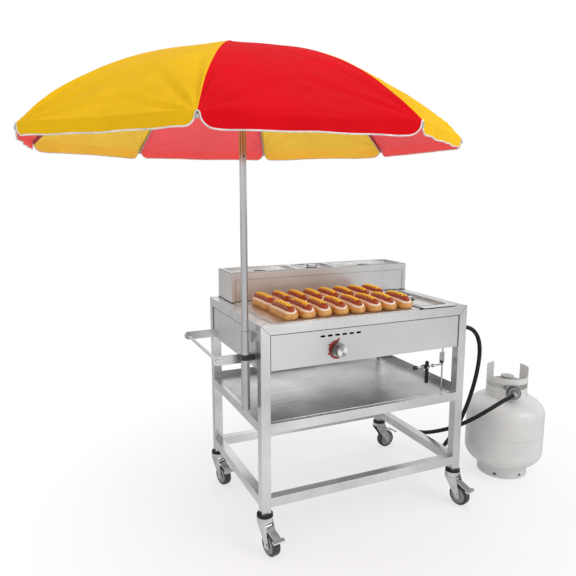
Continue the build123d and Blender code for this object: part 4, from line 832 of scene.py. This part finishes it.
def crease(gore, across, down):
    """How far the cloth stands off its plain shape: creases from the rib tips, and broad swells."""
    off = 0.0
    for side in SIDES:
        tip = Vector((side * HALF_CHORD, 0))
        away = Vector((across, down)) - tip
        far = away.length
        if far < 1e-6:
            return 0.0
        turn = math.atan2(-away.y, -side * away.x)
        seed = gore * GORE_SEED + side * TIP_SEED
        wave = sum(strong * math.sin(turn * many + shift * seed) for many, strong, shift in CREASE_FANS)
        wave += noise.noise(Vector((turn * CREASE_NOISE, seed, 0.5)))
        off += wave * math.exp(-far / CREASE_REACH) * min(1.0, far / CREASE_START)
    held = min(1.0, (HALF_CHORD - abs(across)) / CREASE_HELD)
    broad = noise.noise(Vector((across * SWELL_ACROSS + gore * SWELL_SEED, down * SWELL_DOWN, 0.3)))
    return (off * CREASE + broad * SWELL) * held


def dome_z(rim, reach):
    """Height of the plain dome at a reach from the pole, and the radius of its arc."""
    arc = (rim**2 + DOME_H**2) / (2 * DOME_H)
    return APEX_Z - arc + math.sqrt(arc**2 - reach**2), arc


def on_dome(turn, across, share, gore):
    """A point of the cloth: across is its distance from the gore's middle at the rim."""
    rim = math.hypot(MID_RIM_R, across)
    reach = WING_START_R + (rim - WING_START_R) * share
    z, arc = dome_z(rim, reach)
    slope = math.asin(reach / arc)
    out = outward(turn)
    up = Vector((0, 0, math.cos(slope))) + out * math.sin(slope)
    narrow = reach / rim
    lift = crease(gore, across * narrow, (rim - reach) * CREASE_SLOPE)
    return POLE + out * reach + Vector((0, 0, z)) + up * lift * min(1.0, share * CREASE_FADE)


def has_flap(along):
    return along >= FLAP_NOTCH / 2


def flap_depth(along):
    """How far the flap hangs at a distance from the rib, round its corner."""
    past = along - FLAP_NOTCH / 2
    if past >= FLAP_CORNER_R:
        return FLAP_H
    rise = math.sqrt(max(0.0, 1 - (1 - past / FLAP_CORNER_R) ** 2))
    return FLAP_H - FLAP_CORNER_R + FLAP_CORNER_R * rise


def on_flap(rim, out, along, gore, share):
    """A point of a flap, at a share of its depth below the rim."""
    down = flap_depth(along) * share
    wave = FLAP_WAVE * math.sin(along * FLAP_WAVES + gore * FLAP_WAVE_SHIFT) * share
    lean = FLAP_LEAN * down * (1 - share * FLAP_CURL)
    return rim + out * (wave + lean) - Vector((0, 0, down))


def gore_beside(rib, side):
    """Index of the gore on one side of a rib."""
    return rib if side > 0 else (rib - 1) % RIB_COUNT


def wing_columns(rib):
    """Columns of a wing from one gore's middle over the rib to the next gore's middle.

    Each has its side, its distance from the rib, its gore, the way its flap faces, its distance
    from the gore's middle and its angle about the pole.
    """
    left = [(-1, along) for along in reversed(COLUMNS)]
    right = [(1, along) for along in COLUMNS[1:]]
    for side, along in left + right:
        middle = rib_angle(rib) + side * HALF_GORE
        out = outward(middle)
        across = HALF_CHORD - along
        turn = middle - side * math.atan2(across, MID_RIM_R)
        yield side, along, gore_beside(rib, side), out, across, turn


def wing_mesh(rib):
    """The cloth on one rib: half a gore on each side, with half of each flap."""
    bm = bmesh.new()
    uv_layer = bm.loops.layers.uv.new("cut")
    grid = []
    cut = {}
    for side, along, gore, out, across, turn in wing_columns(rib):
        column = []
        for step in range(RADIAL_STEPS + 1):
            share = 1 - (1 - step / RADIAL_STEPS) ** RADIAL_CROWD
            vertex = bm.verts.new(on_dome(turn, across, share, gore))
            cut[vertex] = (side * along * share, share * CUT_LENGTH)
            column.append(vertex)
        if has_flap(along):
            rim = column[-1].co.copy()
            for step in range(1, FLAP_STEPS + 1):
                share = step / FLAP_STEPS
                vertex = bm.verts.new(on_flap(rim, out, along, gore, share))
                cut[vertex] = (side * along, CUT_LENGTH + flap_depth(along) * share)
                column.append(vertex)
        grid.append((side, column))
    for (_, first), (side, second) in zip(grid, grid[1:]):
        for i in range(min(len(first), len(second)) - 1):
            face = bm.faces.new((first[i], first[i + 1], second[i + 1], second[i]))
            face.material_index = 0 if side < 0 else 1
            for loop in face.loops:
                loop[uv_layer].uv = cut[loop.vert]
    return bm


def hem_line(rib):
    """The lower edge of a wing's flaps, up to the rib's tip and down again."""
    line = []
    for _, along, gore, out, across, turn in wing_columns(rib):
        rim = on_dome(turn, across, 1.0, gore)
        line.append(on_flap(rim, out, along, gore, 1.0) if has_flap(along) else rim)
    return line


def upward(bm):
    """Turns the cloth's outside up and out, and gives its area."""
    bm.normal_update()
    facing = sum(face.normal.z * face.calc_area() for face in bm.faces)
    if facing < 0:
        bmesh.ops.reverse_faces(bm, faces=bm.faces)
    return sum(face.calc_area() for face in bm.faces)


def shell(bm, name, materials):
    """A thin closed sheet from an open one; each top material has an inside one after the tops."""
    mesh = bpy.data.meshes.new(name + "_open")
    bm.to_mesh(mesh)
    bm.free()
    for made in materials:
        mesh.materials.append(made)
    holder = linked(name + "_open", mesh)
    thick = holder.modifiers.new("thick", "SOLIDIFY")
    thick.thickness = CLOTH
    thick.offset = -1
    thick.material_offset = len(materials) // 2
    depsgraph = bpy.context.evaluated_depsgraph_get()
    made = bpy.data.meshes.new_from_object(holder.evaluated_get(depsgraph), depsgraph=depsgraph)
    bpy.data.objects.remove(holder)
    made.name = name
    made.shade_smooth()
    made.set_sharp_from_angle(angle=math.radians(CLOTH_SHARP_DEG))
    return made


def canopy():
    for rib in range(RIB_COUNT):
        bm = wing_mesh(rib)
        area = upward(bm)
        materials = [cloths[gore_beside(rib, side) % 2] for cloths in (TOPS, INSIDES) for side in SIDES]
        name = f"canopy_wing_{rib + 1}"
        hem_name = f"piping_{rib + 1}"
        body = f"rib_{rib + 1}"
        wing = piece(name, shell(bm, name, materials), body)
        hem = piece(hem_name, tube_mesh(hem_name, [hem_line(rib)], PIPING_R), body)
        dress(hem, PIPING)
        for soft in (wing, hem):
            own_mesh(soft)
        if rib == 0:
            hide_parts("canopy")


def canopy_centre():
    """The disc that the gores are sewn to, fixed under the pole's cap."""
    bm = bmesh.new()
    bm.loops.layers.uv.new("cut")
    start = rib_angle(0)
    rows = []
    for ring in range(CENTRE_RINGS + 1):
        reach = CENTRE_HOLE_R + (CENTRE_R - CENTRE_HOLE_R) * ring / CENTRE_RINGS
        z = dome_z(MID_RIM_R, reach)[0] + CENTRE_RISE
        row = []
        for i in range(CENTRE_STEPS):
            turn = start + 2 * math.pi * i / CENTRE_STEPS
            row.append(bm.verts.new(POLE + Vector((reach * math.cos(turn), reach * math.sin(turn), z))))
        rows.append(row)
    for inner, outer in zip(rows, rows[1:]):
        for i in range(CENTRE_STEPS):
            j = (i + 1) % CENTRE_STEPS
            face = bm.faces.new((inner[i], outer[i], outer[j], inner[j]))
            face.material_index = i * RIB_COUNT // CENTRE_STEPS % 2
    area = upward(bm)
    cloth = shell(bm, "canopy_centre", [*TOPS, *INSIDES])
    disc = piece("canopy_centre", cloth, "umbrella")


canopy()
canopy_centre()


# Hot dogs


def bread(name, low, high, rough, grain):
    """Baked bread: browned in patches, with pores."""
    made, tree, shader, place = new_material(name)
    cloud = noise_of(tree, place, 60.0, rough=0.6)
    pores = noise_of(tree, place, grain, detail=3.0, rough=0.7)
    shader.inputs["Subsurface Weight"].default_value = 0.15
    shader.inputs["Subsurface Radius"].default_value = (0.004, 0.002, 0.001)
    shader.inputs["Subsurface Scale"].default_value = 0.5
    tone = ramp(tree, cloud, (0.3, low), (0.7, high))
    coat(tree, shader, tone, pores, rough - 0.1, rough + 0.15)
    bumped(tree, shader, pores, distance=0.0010, strength=0.5)
    return made


def wet(name, low, high, rough):
    """Sausage skin or sauce: shiny, with a slightly uneven surface."""
    made, tree, shader, place = new_material(name)
    cloud = noise_of(tree, place, 90.0)
    lumps = noise_of(tree, place, 260.0, detail=2.0)
    coat(tree, shader, ramp(tree, cloud, (0.3, low), (0.7, high)), lumps, rough, rough + 0.16)
    bumped(tree, shader, lumps, distance=0.0006, strength=0.6)
    return made


CRUST = bread("bun_crust", (0.60, 0.27, 0.055), (0.84, 0.50, 0.17), 0.42, 420.0)
CRUMB = bread("bun_crumb", (0.90, 0.82, 0.68), (0.97, 0.93, 0.84), 0.8, 700.0)
SAUSAGE = wet("sausage_skin", (0.30, 0.034, 0.006), (0.48, 0.075, 0.012), 0.26)
MUSTARD = wet("mustard", (1.0, 0.60, 0.014), (1.0, 0.76, 0.05), 0.30)
KETCHUP = wet("ketchup", (0.50, 0.012, 0.010), (0.70, 0.03, 0.02), 0.18)
# Sauces: look, radius of the line, how far it swings, and how far its waves are shifted
SAUCES = {
    "mustard": (MUSTARD, 0.0034, 0.0068, 0.0),
    "ketchup": (KETCHUP, 0.0016, 0.0055, 2.6),
}


def stadium(inset, height):
    """A closed loop of points round a bun at one height."""
    reach = (BUN_LENGTH - BUN_W) / 2
    r = BUN_W / 2 - inset
    loop = []
    for end in SIDES:
        for i in range(BUN_CAP_STEPS + 1):
            turn = math.pi * i / BUN_CAP_STEPS
            loop.append(Vector((-end * r * math.cos(turn), end * (reach + r * math.sin(turn)), height)))
        for i in range(1, BUN_SIDE_STEPS):
            loop.append(Vector((end * r, end * reach * (1 - 2 * i / BUN_SIDE_STEPS), height)))
    return loop


def add_bun(bm, place, rng):
    """A bun from foot to groove, slightly lumpy, with lower ends and a torn groove."""
    seed = Vector((rng.uniform(0, BUN_SEEDS), rng.uniform(0, BUN_SEEDS), 0))
    rings = []
    for inset, height in CRUST_RINGS + LIP_RINGS:
        ring = []
        for point in stadium(inset * MM, height * MM):
            if inset > LIP_RINGS[0][0]:
                swell = abs(noise.noise(point * BUN_TEARS + seed)) * -BUN_TEAR
            else:
                swell = noise.noise(point * BUN_LUMPS + seed) * BUN_LUMP
            out = Vector((point.x, point.y * BUN_SWELL_Y, 0)).normalized()
            towards_end = (abs(point.y) / (BUN_LENGTH / 2)) ** BUN_END_POWER
            lowered = BUN_END_DROP * towards_end * (height / LIP_TOP)
            ring.append(place @ (point + out * swell - Vector((0, 0, lowered))))
        rings.append(ring)
    bands, (_, groove) = add_loft(bm, rings)
    for band in bands[CRUMB_FROM:]:
        for face in band:
            face.material_index = 1
    groove.material_index = 1


def sausage_rings(bend):
    """Round cross sections of a sausage that bows a little sideways."""
    half = SAUSAGE_LENGTH / 2
    rings = []
    for j in range(SAUSAGE_STATIONS + 1):
        t = math.sin(math.pi * (j / SAUSAGE_STATIONS - 0.5)) * SAUSAGE_TIP
        y = t * half
        end = max(0.0, (abs(y) - (half - SAUSAGE_R)) / SAUSAGE_R)
        r = SAUSAGE_R * math.sqrt(max(SAUSAGE_BLUNT, 1 - end**2))
        middle = Vector((bend * (1 - t * t), y, SAUSAGE_RISE - SAUSAGE_END_DROP * t * t))
        ring = []
        for i in range(SAUSAGE_AROUND):
            turn = 2 * math.pi * i / SAUSAGE_AROUND
            ring.append(middle + Vector((r * math.cos(turn), 0, r * math.sin(turn))))
        rings.append(ring)
    return rings


def squiggle(rng, bend, phase, swing):
    """A line of sauce that runs to and fro along the top of a sausage."""
    half = SAUSAGE_LENGTH / 2 - SAUSAGE_R
    line = []
    for i in range(SAUCE_STEPS + 1):
        t = i / SAUCE_STEPS * 2 - 1
        x = swing * math.sin(math.pi * SAUCE_TURNS * t + phase) + rng.uniform(-SAUCE_SHAKE, SAUCE_SHAKE)
        z = SAUSAGE_RISE - SAUSAGE_END_DROP * t * t + math.sqrt((SAUSAGE_R + SAUCE_RISE) ** 2 - x * x)
        line.append(Vector((bend * (1 - t * t) + x, half * SAUCE_SPAN * t, z)))
    return line


def hot_dogs():
    """Two rows of filled buns on the griddle, each a little different."""
    rng = random.Random(DOG_SEED)
    low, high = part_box("griddle_plate")
    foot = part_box("hot_dogs")[0].z
    buns = bmesh.new()
    sausages = bmesh.new()
    lines = {name: [] for name in SAUCES}
    for row in range(DOG_ROWS):
        for i in range(DOGS_PER_ROW):
            x = high.x - DOG_MARGIN - DOG_PITCH * i
            y = low.y + DOG_FRONT_MARGIN + BUN_LENGTH / 2 + DOG_ROW_PITCH * row
            turn = Matrix.Rotation(math.radians(rng.uniform(-DOG_TURN, DOG_TURN)), 4, "Z")
            size = rng.uniform(*DOG_SIZE)
            lean = Matrix.Rotation(math.radians(rng.uniform(*DOG_LEAN)), 4, "Y")
            place = Matrix.Translation((x, y, foot)) @ turn @ lean @ Matrix.Diagonal((size, size, 1, 1))
            bend = rng.uniform(-SAUSAGE_BEND, SAUSAGE_BEND)
            add_bun(buns, place, rng)
            add_loft(sausages, [[place @ point for point in ring] for ring in sausage_rings(bend)])
            phase = rng.uniform(0, SAUCE_PHASES)
            for name, (_, _, swing, shift) in SAUCES.items():
                line = squiggle(rng, bend, phase + shift, swing)
                lines[name].append([place @ point for point in line])
    made = piece("hot_dog_buns", finished(buns, "hot_dog_buns", 75), "cart")
    dress(made, CRUST, CRUMB)
    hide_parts("hot_dogs")
    links = piece("hot_dog_sausages", finished(sausages, "hot_dog_sausages"), "cart")
    dress(links, SAUSAGE)
    for name, (look, radius, _, _) in SAUCES.items():
        mesh = tube_mesh(f"hot_dog_{name}", lines[name], radius)
        dress(piece(f"hot_dog_{name}", mesh, "cart"), look)


hot_dogs()


# Painted shade in gaps, grooves, behind the vents and in the foot ring, and seam lines on the mitres


def dark_lines(name, lines, radius, body="cart"):
    """Thin dark beads along lines of points."""
    dress(piece(name, tube_mesh(name, lines, radius), body), LOOKS["bead"])


def dark_solid(name, bm):
    dress(piece(name, finished(bm, name, 30), "cart"), LOOKS["black"])


def straight(first, second):
    """A line between two points measured from the cart's origin."""
    return [from_cart(*first), from_cart(*second)]


def shadow_gap_beads():
    """Painted shade in gaps: dark beads between panels and tubes, and along the condiment box's foot."""
    face_x = FRAME_X - BEAD_SUNK
    face_y = FRAME_Y - BEAD_SUNK
    end_x = FRAME_X - TUBE - BEAD_END
    end_y = FRAME_Y - TUBE - BEAD_END
    leg_x = FRAME_X - TUBE - BEAD_GAP
    leg_y = FRAME_Y - TUBE - BEAD_GAP
    top = DECK_Z - TUBE - BEAD_GAP
    wide = [straight((-end_x, -face_y, top), (end_x, -face_y, top))]
    for side in SIDES:
        x = side * leg_x
        wide.append(straight((x, -face_y, PANEL_LOW_Z), (x, -face_y, top)))
        x = side * face_x
        wide.append(straight((x, -end_y, top), (x, end_y, top)))
        for y in (-leg_y, leg_y):
            wide.append(straight((x, y, PANEL_LOW_Z), (x, y, top)))
    dark_lines("panel_shadow_gap_beads", wide, PANEL_BEAD_R)
    foot = DECK_Z + BOX_BEAD_RISE
    front = BOX_Y[0] - BOX_BEAD_OFF
    left = BOX_X[0] - BOX_BEAD_OFF
    thin = [straight((BOX_X[0], front, foot), (BOX_X[1], front, foot))]
    thin.append(straight((left, BOX_Y[0], foot), (left, BOX_Y[1], foot)))
    dark_lines("box_shadow_gap_beads", thin, BOX_BEAD_R)


def seam_and_shade_lines():
    """Thin dark lines on the frame's mitres, and painted shade in the groove round the condiment box's
    front.
    """
    over = DECK_Z + MITRE_OFF
    before = -FRAME_Y - MITRE_OFF
    mitres = []
    for side in SIDES:
        outer = side * FRAME_X
        inner = side * (FRAME_X - TUBE)
        for end in SIDES:
            mitres.append(straight((outer, end * FRAME_Y, over), (inner, end * (FRAME_Y - TUBE), over)))
        mitres.append(straight((outer, before, DECK_Z), (inner, before, DECK_Z - TUBE)))
    dark_lines("mitre_seams", mitres, MITRE_R)
    left = BOX_X[0] + BOX_GROOVE_IN
    right = BOX_X[1] - BOX_GROOVE_IN
    low, high = BOX_GROOVE_Z
    outline = [(left, low), (right, low), (right, high), (left, high), (left, low)]
    dark_lines("box_front_groove_shade", [[from_cart(x, BOX_GROOVE_Y, z) for x, z in outline]], BOX_GROOVE_R)


def rounded(x, y, z, radius):
    """A closed line round a rectangle with rounded corners."""
    line = []
    for quarter, (i, j) in enumerate(((1, 1), (0, 1), (0, 0), (1, 0))):
        middle = Vector((x[i] - SIDES[i] * radius, y[j] - SIDES[j] * radius, z))
        for step in range(CORNER_STEPS + 1):
            turn = math.pi / 2 * (quarter + step / CORNER_STEPS)
            line.append(middle + outward(turn) * radius)
    return line + line[:1]


def lid_seam_and_shade_lines():
    """Dark lines of painted shade round each lid's rim and its sunk panel, which ride with the lid."""
    for name, seat in LID_SEATS.items():
        low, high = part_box(name)
        front = low.y if name != "steam_lid" else CART.y + STEAM_FRONT_Y
        top = seat + LID_SHEET
        well_x = (low.x + LID_RIM, high.x - LID_RIM)
        well_y = (front + LID_RIM, high.y - LID_RIM)
        well = rounded(well_x, well_y, top, LID_WELL_R)
        edge = rounded((low.x, high.x), (low.y, high.y), top - LID_SHEET / 2, LID_SHEET)
        dark_lines(f"{name}_seams", [well, edge], LID_SHADE_LINE_R, name)


def vent_shade_trough():
    """Painted shade: a dark channel behind the apron's vent slots."""
    front, back = TROUGH_Y
    low, high = TROUGH_Z
    section = [(front, low), (back, low), (back, high), (front, high)]
    back -= TROUGH_WALL
    low += TROUGH_WALL
    high -= TROUGH_WALL
    section += [(front, high), (back, high), (back, low), (front, low)]
    bm = bmesh.new()
    add_loft(bm, [[from_cart(x, y, z) for y, z in section] for x in TROUGH_X])
    dark_solid("vent_shade_trough", bm)


def foot_ring_shade():
    """Painted shade: a dark band inside the cylinder's foot ring, behind its vents."""
    inner, outer = FOOT_SHADE_R
    low, high = FOOT_SHADE_Z
    profile = ((inner, low), (outer, low), (outer, high), (inner, high))
    rings = []
    for i in range(FOOT_SHADE_STEPS):
        turn = 2 * math.pi * i / FOOT_SHADE_STEPS
        out = outward(turn)
        rings.append([Vector((VALVE_AT.x, VALVE_AT.y, z)) + out * r for r, z in profile])
    bm = bmesh.new()
    add_loft(bm, rings, closed=True)
    dark_solid("foot_ring_shade", bm)


shadow_gap_beads()
seam_and_shade_lines()
lid_seam_and_shade_lines()
vent_shade_trough()
foot_ring_shade()


# Camera, light and floor


def camera():
    lens = bpy.data.cameras.new("camera")
    lens.sensor_width = SENSOR_MM
    lens.lens = FOCAL_PX / IMAGE_PX * SENSOR_MM
    made = linked("camera", lens)
    made.location = CART + CAMERA_FROM_CART
    made.rotation_euler = (math.pi / 2 - CAMERA_PITCH, 0, -CAMERA_YAW)
    bpy.context.scene.camera = made


def seen(tree):
    """Shares for rays from the camera or through glass, and for rays from a shiny surface."""
    path = node(tree, "ShaderNodeLightPath").outputs
    direct = math_of(tree, "MAXIMUM", path["Is Camera Ray"], path["Is Transmission Ray"])
    return direct, path["Is Glossy Ray"]


def sky():
    """White where it is seen, even for matt surfaces, and dimmer overhead for shiny ones."""
    world = bpy.data.worlds.new("studio")
    world.use_nodes = True
    bpy.context.scene.world = world
    tree = world.node_tree
    tree.nodes.clear()
    direct, shiny = seen(tree)
    height = part_of(tree, node(tree, "ShaderNodeTexCoord").outputs["Generated"], "Z")
    overhead = ranged(tree, height, SKY_HORIZON, SKY_ZENITH, *SKY_SPAN)
    strength = chosen(tree, direct, chosen(tree, shiny, SKY_LIGHT, overhead), 1.0)
    plain = node(tree, "ShaderNodeBackground", Color=WHITE, Strength=strength)
    out = node(tree, "ShaderNodeOutputWorld")
    tree.links.new(plain.outputs["Background"], out.inputs["Surface"])


def floor():
    """Pale floor that keeps a faint shadow near the object and turns white further off."""
    mesh = bpy.data.meshes.new("floor")
    half = FLOOR_SIZE / 2
    square = [(-half, -half, 0), (half, -half, 0), (half, half, 0), (-half, half, 0)]
    mesh.from_pydata(square, [], [(0, 1, 2, 3)])
    made = linked("floor", mesh)
    look = bpy.data.materials.new("floor")
    look.use_nodes = True
    tree = look.node_tree
    tree.nodes.clear()
    place = place_in(tree)
    direct, shiny = seen(tree)
    away = vector_of(tree, "DISTANCE", place, from_cart(FLOOR_MIDDLE_X, 0, 0), output="Value")
    near = ranged(tree, away, FLOOR_WHITE_NEAR, 1.0, FLOOR_NEAR, FLOOR_FAR)
    turn = ranged(tree, turn_about(tree, place, CART, "Y"), 0.0, 1.0, -math.pi, math.pi)
    side = ramp(tree, turn, *[(at, grey(level)) for at, level in FLOOR_ROUND])
    matt = node(tree, "ShaderNodeBsdfDiffuse", Color=rgba(grey(FLOOR_GREY)))
    white = node(tree, "ShaderNodeEmission", Color=WHITE, Strength=chosen(tree, shiny, 1.0, side))
    for_camera = math_of(tree, "MULTIPLY", direct, near)
    share = math_of(tree, "ADD", for_camera, math_of(tree, "MULTIPLY", shiny, FLOOR_SHINY))
    mix = node(tree, "ShaderNodeMixShader", Fac=share)
    tree.links.new(matt.outputs["BSDF"], mix.inputs[1])
    tree.links.new(white.outputs["Emission"], mix.inputs[2])
    out = node(tree, "ShaderNodeOutputMaterial")
    tree.links.new(mix.outputs["Shader"], out.inputs["Surface"])
    mesh.materials.append(look)


def softbox(name, at, aim_z, size, power):
    light = bpy.data.lights.new(name, "AREA")
    light.shape = "SQUARE"
    light.size = size
    light.energy = power
    made = linked(name, light)
    made.location = at
    made.rotation_euler = (Vector((0, 0, aim_z)) - Vector(at)).to_track_quat("-Z", "Y").to_euler()


camera()
sky()
floor()
for box in SOFTBOXES:
    softbox(*box)
bpy.context.scene.view_settings.view_transform = "Standard"
